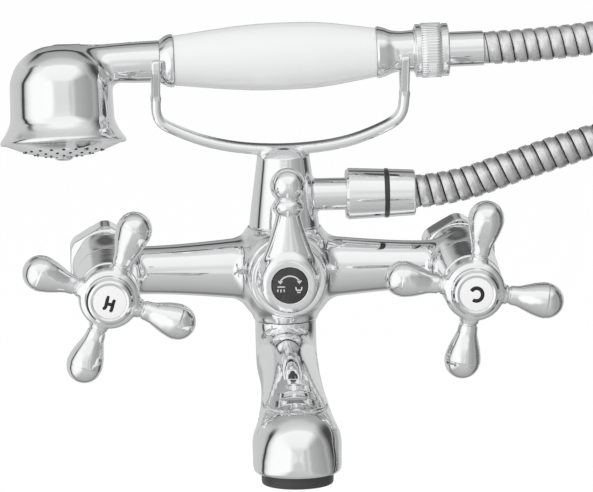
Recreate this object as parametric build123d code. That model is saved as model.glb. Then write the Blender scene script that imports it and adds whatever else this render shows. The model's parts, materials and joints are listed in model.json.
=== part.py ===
from build123d import *
import math
import os

# Wall-mounted bath mixer with a handset on a cradle. Millimetres, +Z up, +X to the cold side, +Y into
# the wall. The origin lies on the wall plane, midway between the two inlet nuts. Everything that is
# turned about a front-to-back axis is given by its distance from the wall.

# Fits
RUN_FIT = 0.06
THREAD_FIT = 0.05
FACE_GAP = 0.05
SEAT_GAP = 0.45
ROUND = 0.8

# Inlets and union nuts
INLET_SPACING = 150.0
NUT_FLATS = 30.0
NUT_LENGTH = 18.0
NUT_THREAD_R = 13.25
NUT_THREAD_LENGTH = 8.0
NUT_LIP = 3.2
NUT_CHAMFER = 1.6
NUT_CORNER_R = 16.5
WASHER_THICKNESS = 2.0
TAIL_FLANGE = 2.6
TAIL_R = 9.0
TAIL_BORE_R = 6.5
TAIL_DEPTH = 6.0

# Cast body
BAR_AXIS = 33.0
BARREL_R = 18.9
BARREL_TOP = 17.5
BARREL_TOP_R = 15.2
BARREL_BOTTOM = 21.9
BARREL_BOTTOM_R = 13.3
ARM_ROOT_R = 12.9
ARM_END_R = 10.1
ARM_ROOT_X = 20.0
ARM_END_X = 61.0
WATERWAY_R = 5.5
BOSS_BACK_R = 14.4
BOSS_FRONT_R = 13.6
BOSS_FRONT = 56.0
FRONT_BOSS_R = 16.6
FRONT_BOSS_END = 54.0
CHAMBER_R = 11.0
CHAMBER_BACK = 21.0
GRUB_R = 2.0
GRUB_LENGTH = 4.5
GRUB_REACH = 1.0

# Valves, the same on both sides
SEAT_BACK = 25.0
SEAT_FRONT = 27.0
SEAT_HOLE_R = 5.0
VALVE_BORE_R = 10.0
VALVE_SEAL = 2.0
CAGE_WALL = 1.6
DISC_THICKNESS = 2.6
CAGE_END = 41.0
HEADWORK_NECK_R = 7.0
HEADWORK_END = 74.0
SPINDLE_R = 4.0
SPINDLE_END = 94.0
SPINDLE_HEAD = 3.4
SHROUD_END = 86.4
SHROUD_FRONT_R = 12.75
SHROUD_WALL = 1.3

# Cross handles
HUB_BACK = 87.2
HUB_FRONT = 102.0
HUB_R = 12.65
HUB_NOSE_R = 9.8
HUB_NOSE_LENGTH = 2.2
ARM_PLANE = 97.0
HANDLE_ARM_R = 3.7
HANDLE_BALL_R = 7.35
HANDLE_BALL_AT = 30.0
HANDLE_ARMS = 4
HOT_HANDLE_TURN = -21.0
COLD_HANDLE_TURN = -10.0
SCREW_R = 2.0
SCREW_HEAD_R = 3.8
SCREW_HEAD = 2.6
SCREW_LENGTH = 14.0
INDEX_RING_R = 9.8
INDEX_RING_LENGTH = 4.3
INDEX_DISC_R = 7.25
INDEX_DISC_THICKNESS = 3.0
INDEX_DISC_CROWN = 0.5

# Diverter
HOUSING_R = 15.9
HOUSING_FRONT = 66.0
ROTOR_FRONT = 43.5
ROTOR_BORE_R = 6.0
LEVER_BACK = 66.5
LEVER_FRONT = 78.0
LEVER_R = 12.2
LEVER_NECK_R = 4.4
LEVER_NECK_Z = 28.0
LEVER_BALL_R = 7.3
LEVER_BALL_Z = 40.6
LEVER_BALL_AT = 70.0
BADGE_R = 7.4
BADGE_THICKNESS = 2.2
BADGE_DEPTH = 1.0
LEVER_ARM_ROOT = 2.0
LEVER_ARM_LOW = 12.0
LEVER_ARM_HIGH = 20.0
LEVER_SCREW_LENGTH = 8.0
DIVERTER_SPINDLE_END = 72.5

# Column, cradle and hose outlet
COLUMN_FOOT_R = 14.7
COLUMN_TOP_R = 11.2
COLUMN_TOP = 48.4
COLUMN_BORE_R = 8.2
COLUMN_ROOF = 8.0
COLUMN_SPIGOT_R = 9.4
COLUMN_SPIGOT = 6.0
BAR_HEIGHT = 4.0
BAR_DEPTH = 8.6
BAR_SAG_X = 22.0
BAR_CORNER_Z = 62.7
BAR_CORNER_R = 9.0
BAR_FLAT = 4.0
FORK_LEFT = -53.1
FORK_RIGHT = 51.3
FORK_WIDTH = 3.8
FORK_THICKNESS = 3.2
FORK_BOTTOM_Z = 71.1
FORK_TIP_Z = 88.9
FORK_BEND_R = 3.5
FORK_SHOULDER_Y = 11.2
FORK_SHOULDER_R = 2.5
CRADLE_STEM_R = 3.9
OUTLET_Z = 30.8
OUTLET_R = 6.8
OUTLET_BORE_R = 4.6
OUTLET_END = 38.0
HOSE_NUT_START = 26.0
HOSE_NUT_END = 42.2
HOSE_NUT_R = 10.9
HOSE_RING_WIDTH = 1.9
HOSE_RING_R = 10.45
HOSE_COLLAR_END = 55.3
HOSE_COLLAR_R = 9.6
CHECK_VALVE_LENGTH = 12.0
HOSE_WASHER = 1.8

# Spout
SPOUT_TURN = -0.6
SPOUT_NECK_R = 9.4
SPOUT_NECK = 10.0
SPOUT_WALL = 2.4
SPOUT_R = 12.8
SPOUT_RUN_Z = -38.3
SPOUT_BEND_R = 15.0
SPOUT_BEND_STEPS = 6
SPOUT_OUTLET_R = 17.8
SPOUT_OUTLET_Z = -62.9
SPOUT_REACH = 152.0
SPOUT_LIP = 3.5
SPOUT_SHOULDER = 6.4
SPOUT_DOME = 18.8
# stations of the run: distance behind the outlet's axis, drop of the centre, half width, half height
SPOUT_RUN = [(92.0, 0.0, 12.8, 12.79), (72.0, 0.2, 12.9, 12.89), (56.0, 0.9, 13.3, 13.2), (42.0, 2.2, 13.8, 13.2),
             (30.0, 3.7, 14.4, 13.1), (18.0, 5.7, 15.2, 12.5), (8.0, 8.2, 16.1, 11.5), (2.0, 10.2, 16.6, 10.9)]
AERATOR_R = 14.6
AERATOR_DROP = 4.1
AERATOR_THREAD_R = 13.9
AERATOR_THREAD = 6.0
AERATOR_BORE_R = 11.4
O_RING_HEIGHT = 1.4
O_RING_DEPTH = 1.2

# Handset, along its own axis: x from head to hose, z up
HANDSET_Z = 89.65
HANDSET_TILT = -1.25
HANDSET_ROLL = -11.0
HEAD_X = -92.9
HEAD_TOP = 8.6
HEAD_DOME_R = 21.6
HEAD_RIM_Z = -32.9
HEAD_SKIRT = 8.6
HEAD_RIM_R = 26.4
HEAD_WALL = 1.6
NECK_R = 8.8
NECK_BORE_R = 5.5
FERRULE_START = -51.3
FERRULE_R = 11.2
GRIP_START = -45.4
GRIP_END = 39.5
GRIP_END_R = 10.3
GRIP_R = 14.1
GRIP_WIDEST = 1.0
GRIP_BORE_R = 6.4
GRIP_TUBE_R = 6.0
GRIP_TUBE_BORE_R = 4.6
TAIL_FLARE_R = 10.9
TAIL_WAIST_R = 8.45
TAIL_WAIST_X = 50.0
TAIL_THREAD_START = 56.0
TAIL_THREAD_R = 9.6
TAIL_THREAD_END = 62.5
KNURL_NUT_START = 55.9
KNURL_NUT_END = 69.9
KNURL_R = 11.65
KNURL_LIP_R = 11.1
KNURL_START = 59.2
KNURL_END = 67.1
KNURL_TEETH = 60
KNURL_DEPTH = 0.35
HOSE_FERRULE_R = 7.3
HOSE_FERRULE_END = 84.65
ROSE_LIP = 2.2
ROSE_SEAT = 2.0
ROSE_EDGE = 1.6
ROSE_DROP = 5.8
ROSE_THICKNESS = 1.6
ROSE_HOLE_R = 0.6
ROSE_JET_COUNTS = (8, 14, 20)
ROSE_JET_RINGS = (7.5, 12.0, 16.5)
GASKET_WIDTH = 3.6
ROSE_SCREW_R = 3.9
ROSE_SCREW_HEAD = 1.3
ROSE_SCREW_SHANK_R = 2.1
ROSE_SCREW_TOP = 4.1
POST_BOTTOM = -14.0
POST_R = 4.0

# Shower hose: a route of X and Z at the bar's depth, chosen by hand
HOSE_R = 7.0
HOSE_GROOVE = 0.9
HOSE_BORE_R = 4.5
HOSE_RIB_PITCH = 6.6
HOSE_ROUTE = [
    (44.5, 30.8), (68.0, 30.8), (101.0, 42.4), (146.0, 56.0), (183.4, 49.5), (213.9, 26.8), (231.0, -7.1),
    (233.0, -80.0), (231.0, -150.0), (232.5, -212.0), (231.0, -266.0), (261.0, -307.3), (309.5, -323.1),
    (358.0, -307.3), (388.0, -266.0), (389.5, -205.0), (390.0, -140.0), (388.0, -70.2), (351.7, 12.1),
    (285.2, 72.8), (199.9, 101.5), (150.0, 97.0), (106.0, 91.96), (84.65, 91.5),
]

os.makedirs("parts", exist_ok=True)


def half_section(steps):
    """Closed face of (distance along the axis, radius) corners; a list among them is a smooth curve."""
    edges = []
    last = steps[0]
    for step in steps[1:]:
        if isinstance(step, list):
            edges.append(Spline([(r, 0, s) for s, r in [last] + step]))
            last = step[-1]
        else:
            edges.append(Line((last[1], 0, last[0]), (step[1], 0, step[0])))
            last = step
    edges.append(Line((last[1], 0, last[0]), (steps[0][1], 0, steps[0][0])))
    return make_face(edges)


def turned(steps, at=(0, 0, 0), along=(0, 0, 1)):
    """Solid of revolution of a half section about the axis through `at`."""
    solid = revolve(half_section(steps), Axis.Z)
    return Plane(origin=at, z_dir=along) * solid


def rod(start, end, radius, at=(0, 0, 0), along=(0, 0, 1)):
    """Round bar from one distance along the axis to another."""
    return turned([(start, 0), (start, radius), (end, radius), (end, 0)], at, along)


def ring(start, end, inner, outer, at=(0, 0, 0), along=(0, 0, 1)):
    """Washer or sleeve between two distances along the axis."""
    return turned([(start, inner), (start, outer), (end, outer), (end, inner)], at, along)


FORWARD = (0, -1, 0)
RIGHT = (1, 0, 0)
CENTRE = (0, -BAR_AXIS, 0)
INLETS = {"hot": -INLET_SPACING / 2, "cold": INLET_SPACING / 2}
HANDLE_TURNS = {"hot": HOT_HANDLE_TURN, "cold": COLD_HANDLE_TURN}

WASHER_START = NUT_THREAD_LENGTH + FACE_GAP
FLANGE_START = WASHER_START + WASHER_THICKNESS
FLANGE_END = NUT_LENGTH - NUT_LIP - FACE_GAP
NUT_RELIEF_R = NUT_THREAD_R - 0.8
FLANGE_R = NUT_RELIEF_R - RUN_FIT
BODY_BACK = NUT_LENGTH + SEAT_GAP
TAIL_END = BODY_BACK + TAIL_DEPTH
NOSE_END = HUB_FRONT + HUB_NOSE_LENGTH
GRUB_Z = -BARREL_BOTTOM + SPOUT_NECK / 2
GRUB_TIP = BAR_AXIS - SPOUT_NECK_R + GRUB_REACH
GRUB_START = GRUB_TIP - GRUB_LENGTH
O_RING_Z = GRUB_Z + GRUB_R + 0.9
BADGE_SEAT = LEVER_FRONT - BADGE_DEPTH
LEVER_SCREW_SEAT = DIVERTER_SPINDLE_END + 1.6
HOSE_TAIL_START = OUTLET_END + HOSE_WASHER
HOSE_START = HOSE_NUT_END + HOSE_RING_WIDTH + 0.4
SPOUT_LIP_Z = SPOUT_OUTLET_Z + SPOUT_LIP
OUTLET_AT = (0, -SPOUT_REACH, 0)
ROSE_R = HEAD_RIM_R - ROSE_LIP
GASKET_R = ROSE_R - GASKET_WIDTH
INDEX_FRONT = NOSE_END + INDEX_RING_LENGTH


def save(node, solid):
    """Write one sub-part, named as its node."""
    export_step(solid, f"parts/{node}.step")


def union_nut(x):
    """Hexagon nut that spins behind the flange of the inlet tail."""
    at = (x, 0, 0)
    hexagon = extrude(Plane.XZ * RegularPolygon(NUT_FLATS / 2, 6, major_radius=False), NUT_LENGTH)
    hexagon = Pos(x, 0, 0) * Rot(0, 30, 0) * hexagon
    inner = NUT_FLATS / 2 - 0.4
    cone = turned([(0, 0), (0, inner), (NUT_CHAMFER, NUT_CORNER_R), (NUT_LENGTH - NUT_CHAMFER, NUT_CORNER_R),
                   (NUT_LENGTH, inner), (NUT_LENGTH, 0)], at, FORWARD)
    nut = hexagon & cone
    nut -= rod(-1, NUT_THREAD_LENGTH, NUT_THREAD_R, at, FORWARD)
    nut -= rod(NUT_THREAD_LENGTH, NUT_LENGTH - NUT_LIP, NUT_RELIEF_R, at, FORWARD)
    nut -= rod(NUT_LENGTH - NUT_LIP, NUT_LENGTH + 1, TAIL_R + RUN_FIT, at, FORWARD)
    return nut


def inlet_tail(x):
    """Flanged tail that screws into the back of the body and carries the union nut."""
    tail = turned([(FLANGE_START, TAIL_BORE_R), (FLANGE_START, FLANGE_R), (FLANGE_END, FLANGE_R),
                   (FLANGE_END, TAIL_R), (TAIL_END, TAIL_R), (TAIL_END, TAIL_BORE_R)], (x, 0, 0), FORWARD)
    return tail


def body_outside():
    """Cast outer form: barrel, tapered arms, valve bosses and front boss."""
    barrel = turned([(-BARREL_BOTTOM, 0), (-BARREL_BOTTOM, BARREL_BOTTOM_R),
                     [(-16.5, 16.0), (-9.0, 18.3), (0.0, BARREL_R), (9.0, 18.3), (BARREL_TOP, BARREL_TOP_R)],
                     (BARREL_TOP, 0)], CENTRE)
    outside = barrel + turned([(BAR_AXIS, 0), (BAR_AXIS, FRONT_BOSS_R), (FRONT_BOSS_END - ROUND, FRONT_BOSS_R),
                               (FRONT_BOSS_END, FRONT_BOSS_R - ROUND), (FRONT_BOSS_END, 0)], (0, 0, 0), FORWARD)
    for side, x in INLETS.items():
        direction = (math.copysign(1, x), 0, 0)
        root = ARM_ROOT_R + 2.4
        arm = turned([(0, 0), (0, root), (ARM_ROOT_X - 4.5, root),
                      [(ARM_ROOT_X - 2.0, ARM_ROOT_R + 0.5), (ARM_ROOT_X + 1.5, ARM_ROOT_R - 0.1)],
                      (ARM_END_X, ARM_END_R), (abs(x), ARM_END_R), (abs(x), 0)], CENTRE, direction)
        boss = turned([(BODY_BACK, 0), (BODY_BACK, BOSS_BACK_R - ROUND), (BODY_BACK + ROUND, BOSS_BACK_R),
                       (BOSS_FRONT, BOSS_FRONT_R), (BOSS_FRONT, 0)], (x, 0, 0), FORWARD)
        outside += arm + boss
    return outside


def mixer_body():
    """The casting with its waterways, valve bores, diverter chamber and two vertical sockets."""
    body = body_outside()
    reach = INLET_SPACING / 2
    body -= rod(-reach, reach, WATERWAY_R, CENTRE, RIGHT)
    body -= rod(CHAMBER_BACK, FRONT_BOSS_END + 1, CHAMBER_R, (0, 0, 0), FORWARD)
    body -= rod(BARREL_TOP - COLUMN_SPIGOT, BARREL_TOP + 1, COLUMN_SPIGOT_R + THREAD_FIT, CENTRE)
    body -= rod(0, BARREL_TOP, COLUMN_BORE_R - 1.2, CENTRE)
    body -= rod(-BARREL_BOTTOM - 1, -BARREL_BOTTOM + SPOUT_NECK, SPOUT_NECK_R + RUN_FIT, CENTRE)
    body -= rod(-BARREL_BOTTOM, 0, SPOUT_NECK_R - SPOUT_WALL, CENTRE)
    for x in INLETS.values():
        at = (x, 0, 0)
        body -= rod(BODY_BACK - 1, TAIL_END, TAIL_R + THREAD_FIT, at, FORWARD)
        body -= rod(TAIL_END - 1, SEAT_FRONT + 1, SEAT_HOLE_R, at, FORWARD)
        body -= rod(SEAT_FRONT, BOSS_FRONT + 1, VALVE_BORE_R, at, FORWARD)
    body -= grub_screw_hole()
    return body


def grub_screw_hole():
    """Threaded hole in the back of the barrel for the spout's retaining screw."""
    return rod(BAR_AXIS - BARREL_R - 2, GRUB_TIP, GRUB_R + THREAD_FIT, (0, 0, GRUB_Z), FORWARD)


def grub_screw():
    """Socket screw whose tip runs in the groove of the spout's neck."""
    screw = rod(GRUB_START, GRUB_TIP - RUN_FIT, GRUB_R, (0, 0, GRUB_Z), FORWARD)
    socket = extrude(Plane.XZ * RegularPolygon(GRUB_R / 2, 6), 1.6)
    return screw - Pos(0, -GRUB_START, GRUB_Z) * socket


def headwork(x):
    """Brass valve body: a cage with two windows round the discs, a thread and a neck."""
    at = (x, 0, 0)
    start = SEAT_FRONT + VALVE_SEAL
    outer = VALVE_BORE_R - THREAD_FIT
    cage_r = outer - 0.4
    core = turned([(start, 0), (start, cage_r), (CAGE_END, cage_r), (CAGE_END, outer), (BOSS_FRONT, outer),
                   (BOSS_FRONT + 6, outer), (BOSS_FRONT + 6, HEADWORK_NECK_R), (HEADWORK_END, HEADWORK_NECK_R),
                   (HEADWORK_END, 0)], at, FORWARD)
    disc_end = start + 2 * DISC_THICKNESS + SPINDLE_HEAD + FACE_GAP
    core -= rod(start - 1, disc_end, cage_r - CAGE_WALL, at, FORWARD)
    core -= rod(start, HEADWORK_END + 1, SPINDLE_R + RUN_FIT, at, FORWARD)
    window = Pos(x, -(start + 2 * DISC_THICKNESS), 0) * Box(2 * VALVE_BORE_R + 2, 3.4, 7.0)
    return core - window


def ceramic_disc(x, start):
    """Lapped disc with two water windows."""
    radius = VALVE_BORE_R - THREAD_FIT - 0.4 - CAGE_WALL - RUN_FIT
    disc = rod(start, start + DISC_THICKNESS, radius, (x, 0, 0), FORWARD)
    for shift in (-radius / 2, radius / 2):
        disc -= rod(start - 1, start + DISC_THICKNESS + 1, radius / 3.2, (x + shift, 0, 0), FORWARD)
    return disc


def spindle(x):
    """Turns the moving disc; its front end carries the cross handle."""
    start = SEAT_FRONT + VALVE_SEAL + 2 * DISC_THICKNESS
    radius = VALVE_BORE_R - THREAD_FIT - 0.4 - CAGE_WALL - RUN_FIT
    stem = turned([(start, 0), (start, radius), (start + SPINDLE_HEAD, radius), (start + SPINDLE_HEAD, SPINDLE_R),
                   (SPINDLE_END, SPINDLE_R), (SPINDLE_END, 0)], (x, 0, 0), FORWARD)
    return stem - rod(SPINDLE_END - SCREW_LENGTH, SPINDLE_END + 1, SCREW_R + THREAD_FIT, (x, 0, 0), FORWARD)


def valve_shroud(x):
    """Slightly tapered chrome sleeve over the headwork, seated on the boss."""
    inner = SHROUD_FRONT_R - SHROUD_WALL
    return turned([(BOSS_FRONT, inner), (BOSS_FRONT, BOSS_FRONT_R - 0.2), (SHROUD_END - ROUND, SHROUD_FRONT_R),
                   (SHROUD_END, SHROUD_FRONT_R - ROUND), (SHROUD_END, SPINDLE_R + SEAT_GAP),
                   (SHROUD_END - SHROUD_WALL, SPINDLE_R + SEAT_GAP), (SHROUD_END - SHROUD_WALL, inner)],
                  (x, 0, 0), FORWARD)


def handle_arm():
    """One arm along Z: a slim root that swells into a ball."""
    ball = HANDLE_BALL_AT
    tip = ball + HANDLE_BALL_R
    belly = HANDLE_BALL_R * math.sin(math.radians(45))
    return turned([(0, 0), (0, HANDLE_ARM_R), (14.0, HANDLE_ARM_R),
                   [(19.5, 4.5), (25.0, 6.45), (ball, HANDLE_BALL_R), (ball + belly, belly), (tip - 0.25, 1.6)],
                   (tip, 0)])


def cross_handle(side):
    """Hub with four ball-ended arms and a nose for the index ring."""
    at = (INLETS[side], 0, 0)
    hub = turned([(HUB_BACK, 0), (HUB_BACK, HUB_R - ROUND), (HUB_BACK + ROUND, HUB_R), (HUB_FRONT - 4.5, HUB_R),
                  [(HUB_FRONT - 1.6, HUB_R - 1.0), (HUB_FRONT, HUB_NOSE_R)],
                  (NOSE_END, HUB_NOSE_R), (NOSE_END, 0)], at, FORWARD)
    for arm in range(HANDLE_ARMS):
        angle = -HANDLE_TURNS[side] + arm * 360 / HANDLE_ARMS
        hub += Pos(INLETS[side], -ARM_PLANE, 0) * Rot(0, angle, 0) * handle_arm()
    hub -= rod(HUB_BACK - 1, SPINDLE_END + FACE_GAP, SPINDLE_R + THREAD_FIT, at, FORWARD)
    hub -= rod(SPINDLE_END, NOSE_END + 1, SCREW_R + THREAD_FIT, at, FORWARD)
    hub -= rod(SPINDLE_END + 2.0, NOSE_END + 1, SCREW_HEAD_R + SEAT_GAP, at, FORWARD)
    return hub


def cap_screw(x, seat, depth):
    """Pan-head screw whose head lies on `seat` and whose shank reaches `depth` behind it."""
    screw = turned([(seat - depth, 0), (seat - depth, SCREW_R), (seat, SCREW_R), (seat, SCREW_HEAD_R),
                    (seat + SCREW_HEAD - 0.6, SCREW_HEAD_R), (seat + SCREW_HEAD, SCREW_HEAD_R - 0.6),
                    (seat + SCREW_HEAD, 0)], (x, 0, 0), FORWARD)
    for angle in (0, 90):
        slot = Rot(0, angle, 0) * Box(SCREW_HEAD_R * 1.2, 1.4, 0.9)
        screw -= Pos(x, -(seat + SCREW_HEAD), 0) * slot
    return screw


def index_ring(x):
    """Bezel screwed on the nose, with the step that holds the index disc."""
    inner = INDEX_DISC_R + FACE_GAP
    return turned([(NOSE_END, INDEX_DISC_R - 1.0), (NOSE_END, INDEX_RING_R - 0.1),
                   (INDEX_FRONT - 1.3, INDEX_RING_R - 0.1), (INDEX_FRONT - 0.6, INDEX_RING_R - 0.6),
                   (INDEX_FRONT, inner + 0.9), (INDEX_FRONT - 0.3, inner),
                   (INDEX_FRONT - INDEX_DISC_THICKNESS + 0.6, inner),
                   (INDEX_FRONT - INDEX_DISC_THICKNESS + 0.6, INDEX_DISC_R - 1.0)], (x, 0, 0), FORWARD)


def index_disc(x):
    """White disc, slightly crowned."""
    back = INDEX_FRONT - INDEX_DISC_THICKNESS + 0.6
    rim = INDEX_FRONT - 0.3
    return turned([(back, 0), (back, INDEX_DISC_R), (rim, INDEX_DISC_R),
                   [(rim + INDEX_DISC_CROWN * 0.75, INDEX_DISC_R / 2), (rim + INDEX_DISC_CROWN, 0)]],
                  (x, 0, 0), FORWARD)


def diverter_housing():
    """Round cover screwed into the front boss, with the bore that guides the diverter's spindle."""
    return turned([(ROTOR_FRONT + FACE_GAP, SPINDLE_R + RUN_FIT), (ROTOR_FRONT + FACE_GAP, CHAMBER_R - THREAD_FIT),
                   (FRONT_BOSS_END, CHAMBER_R - THREAD_FIT), (FRONT_BOSS_END, HOUSING_R),
                   (HOUSING_FRONT - ROUND, HOUSING_R), (HOUSING_FRONT, HOUSING_R - ROUND),
                   (HOUSING_FRONT, SPINDLE_R + RUN_FIT)], (0, 0, 0), FORWARD)


def diverter_rotor():
    """Plug with a through way that feeds either the spout or the column."""
    plug = rod(CHAMBER_BACK + FACE_GAP, ROTOR_FRONT, CHAMBER_R - RUN_FIT, (0, 0, 0), FORWARD)
    plug -= rod(-CHAMBER_R - 1, 0, ROTOR_BORE_R, CENTRE)
    return plug - rod(-CHAMBER_R - 1, CHAMBER_R + 1, WATERWAY_R, CENTRE, RIGHT)


def diverter_spindle():
    """Shaft between the rotor and the lever."""
    shaft = rod(ROTOR_FRONT, DIVERTER_SPINDLE_END, SPINDLE_R, (0, 0, 0), FORWARD)
    return shaft - rod(DIVERTER_SPINDLE_END - LEVER_SCREW_LENGTH, DIVERTER_SPINDLE_END + 1, SCREW_R + THREAD_FIT,
                       (0, 0, 0), FORWARD)


def lever_section(z, depth, half_width, half_depth):
    """Oval section of the lever's arm at one height."""
    return Plane(origin=(0, -depth, z), x_dir=(1, 0, 0), z_dir=(0, 0, 1)) * Ellipse(half_width, half_depth)


def diverter_lever():
    """Pear-shaped lever: a round end with the badge, a tapering arm and a ball on top."""
    middle = (LEVER_BACK + LEVER_FRONT) / 2
    lever = turned([(LEVER_BACK, 0), (LEVER_BACK, LEVER_R - ROUND), (LEVER_BACK + ROUND, LEVER_R),
                    (LEVER_FRONT - 4.0, LEVER_R),
                    [(LEVER_FRONT - 1.2, LEVER_R - 1.2), (LEVER_FRONT, BADGE_R + 1.6)],
                    (LEVER_FRONT, 0)], (0, 0, 0), FORWARD)
    arm = loft([lever_section(LEVER_ARM_ROOT, middle, LEVER_R - 0.6, 5.0),
                lever_section(LEVER_ARM_LOW, middle - 0.4, LEVER_NECK_R * 1.95, 4.9),
                lever_section(LEVER_ARM_HIGH, middle - 0.9, LEVER_NECK_R * 1.3, 4.4),
                lever_section(LEVER_NECK_Z, middle - 1.5, LEVER_NECK_R, 4.0),
                lever_section(LEVER_BALL_Z - 2.0, LEVER_BALL_AT, LEVER_NECK_R + 0.4, 4.4)])
    ball = Pos(0, -LEVER_BALL_AT, LEVER_BALL_Z) * Sphere(LEVER_BALL_R)
    lever += arm + ball
    lever -= rod(LEVER_BACK - 1, DIVERTER_SPINDLE_END + FACE_GAP, SPINDLE_R + THREAD_FIT, (0, 0, 0), FORWARD)
    lever -= rod(LEVER_BACK, LEVER_FRONT + 1, SCREW_R + THREAD_FIT, (0, 0, 0), FORWARD)
    lever -= rod(LEVER_SCREW_SEAT, LEVER_FRONT + 1, SCREW_HEAD_R + SEAT_GAP, (0, 0, 0), FORWARD)
    lever -= rod(BADGE_SEAT, LEVER_FRONT + 1, BADGE_R + FACE_GAP, (0, 0, 0), FORWARD)
    return lever


def lever_badge():
    """Dark round badge, slightly crowned."""
    front = BADGE_SEAT + BADGE_THICKNESS
    return turned([(BADGE_SEAT, 0), (BADGE_SEAT, BADGE_R), (front - 0.9, BADGE_R),
                   [(front - 0.2, BADGE_R / 2), (front, 0)]], (0, 0, 0), FORWARD)


def column():
    """Tapered riser that carries water to the hose outlet and the cradle on its top."""
    foot = BARREL_TOP
    shell = turned([(foot - COLUMN_SPIGOT + FACE_GAP, COLUMN_BORE_R - 1.2),
                    (foot - COLUMN_SPIGOT + FACE_GAP, COLUMN_SPIGOT_R),
                    (foot, COLUMN_SPIGOT_R), (foot, COLUMN_FOOT_R - 0.5), (foot + 0.5, COLUMN_FOOT_R),
                    (COLUMN_TOP, COLUMN_TOP_R), (COLUMN_TOP, 0), (COLUMN_TOP - COLUMN_ROOF, 0),
                    (COLUMN_TOP - COLUMN_ROOF, COLUMN_BORE_R), (foot, COLUMN_BORE_R),
                    (foot, COLUMN_BORE_R - 1.2)], CENTRE)
    shell -= rod(0, COLUMN_FOOT_R + 1, OUTLET_R + THREAD_FIT, (0, -BAR_AXIS, OUTLET_Z), RIGHT)
    return shell - rod(COLUMN_TOP - COLUMN_ROOF + 1, COLUMN_TOP + 1, CRADLE_STEM_R + THREAD_FIT, CENTRE)


def handset_axis_z(x):
    """Height of the handset's axis at one X."""
    return HANDSET_Z - x * math.tan(math.radians(HANDSET_TILT))


def fork(x, held_radius):
    """Flat bar bent to a V whose legs carry the handset, with upright tips where the V is wide enough."""
    reach = held_radius + SEAT_GAP + FORK_THICKNESS / 2
    axis_z = handset_axis_z(x)
    lean = math.asin((reach - FORK_BEND_R) / (axis_z - FORK_BOTTOM_Z - FORK_BEND_R - FORK_THICKNESS / 2))
    foot = axis_z - reach / math.sin(lean)
    shoulder = foot + FORK_SHOULDER_Y / math.tan(lean)
    legs = [(FORK_SHOULDER_Y, shoulder), (FORK_SHOULDER_Y, FORK_TIP_Z)]
    radii = [FORK_SHOULDER_R, FORK_BEND_R, FORK_SHOULDER_R]
    if shoulder > FORK_TIP_Z - FORK_SHOULDER_R:
        legs = [((FORK_TIP_Z - foot) * math.tan(lean), FORK_TIP_Z)]
        radii = [FORK_BEND_R]
    line = [(x, -BAR_AXIS - y, z) for y, z in reversed(legs)] + [(x, -BAR_AXIS, foot)]
    line += [(x, -BAR_AXIS + y, z) for y, z in legs]
    path = FilletPolyline(line, radius=radii)
    section = RectangleRounded(FORK_WIDTH, FORK_THICKNESS, FORK_THICKNESS / 3)
    return sweep(Plane(origin=line[0], x_dir=(1, 0, 0), z_dir=path % 0) * section, path)


def bow_radius(end_x):
    """Radius of the bar's bow on one side, which leaves a short flat in the middle."""
    rise = BAR_CORNER_Z - COLUMN_TOP - BAR_HEIGHT / 2
    turn = math.atan(rise / (abs(end_x) - BAR_SAG_X))
    return (BAR_SAG_X - BAR_FLAT / 2) / math.tan(turn / 2)


def cradle():
    """Bowed bar with a fork at each end, screwed into the column's top by its stem."""
    top = COLUMN_TOP + BAR_HEIGHT / 2
    end_z = FORK_BOTTOM_Z + FORK_THICKNESS
    corners = [(FORK_LEFT, -BAR_AXIS, end_z), (FORK_LEFT, -BAR_AXIS, BAR_CORNER_Z), (-BAR_SAG_X, -BAR_AXIS, top),
               (BAR_SAG_X, -BAR_AXIS, top), (FORK_RIGHT, -BAR_AXIS, BAR_CORNER_Z), (FORK_RIGHT, -BAR_AXIS, end_z)]
    bends = [BAR_CORNER_R, bow_radius(FORK_LEFT), bow_radius(FORK_RIGHT), BAR_CORNER_R]
    path = FilletPolyline(corners, radius=bends)
    section = RectangleRounded(FORK_WIDTH, BAR_DEPTH, FORK_WIDTH / 2 - 0.1)
    bar = sweep(Plane(origin=corners[0], x_dir=(1, 0, 0), z_dir=(0, 0, -1)) * section, path)
    whole = bar + fork(FORK_LEFT, NECK_R) + fork(FORK_RIGHT, TAIL_WAIST_R)
    stem_bottom = COLUMN_TOP - COLUMN_ROOF + 1.2
    return whole + rod(stem_bottom, top, CRADLE_STEM_R, CENTRE)


def outlet_spigot():
    """Threaded outlet from the column to the hose nut."""
    at = (0, -BAR_AXIS, OUTLET_Z)
    start = COLUMN_BORE_R
    stub = turned([(start, OUTLET_BORE_R), (start, OUTLET_R), (OUTLET_END, OUTLET_R), (OUTLET_END, OUTLET_BORE_R)],
                  at, RIGHT)
    return stub


def taper_r(x):
    """Radius of the hose nut's gentle cone at X."""
    share = (x - HOSE_NUT_START) / (HOSE_COLLAR_END - HOSE_NUT_START)
    return HOSE_NUT_R + share * (HOSE_COLLAR_R - HOSE_NUT_R)


def outlet_nut():
    """Smooth cone nut of the hose, free to spin on the outlet."""
    at = (0, -BAR_AXIS, OUTLET_Z)
    return turned([(HOSE_NUT_START, OUTLET_R + RUN_FIT), (HOSE_NUT_START, HOSE_NUT_R - 1.2),
                   (HOSE_NUT_START + 1.0, HOSE_NUT_R), (HOSE_NUT_END, taper_r(HOSE_NUT_END)),
                   (HOSE_NUT_END, OUTLET_R + RUN_FIT)], at, RIGHT)


def outlet_washer():
    """Rubber washer between the outlet's end and the hose's tail."""
    return ring(OUTLET_END, OUTLET_END + HOSE_WASHER, OUTLET_BORE_R, OUTLET_R, (0, -BAR_AXIS, OUTLET_Z), RIGHT)


def outlet_ring():
    """Thin black ring between the nut and the collar."""
    return ring(HOSE_NUT_END + FACE_GAP, HOSE_NUT_END + HOSE_RING_WIDTH, OUTLET_R + RUN_FIT, HOSE_RING_R,
                (0, -BAR_AXIS, OUTLET_Z), RIGHT)


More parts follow.
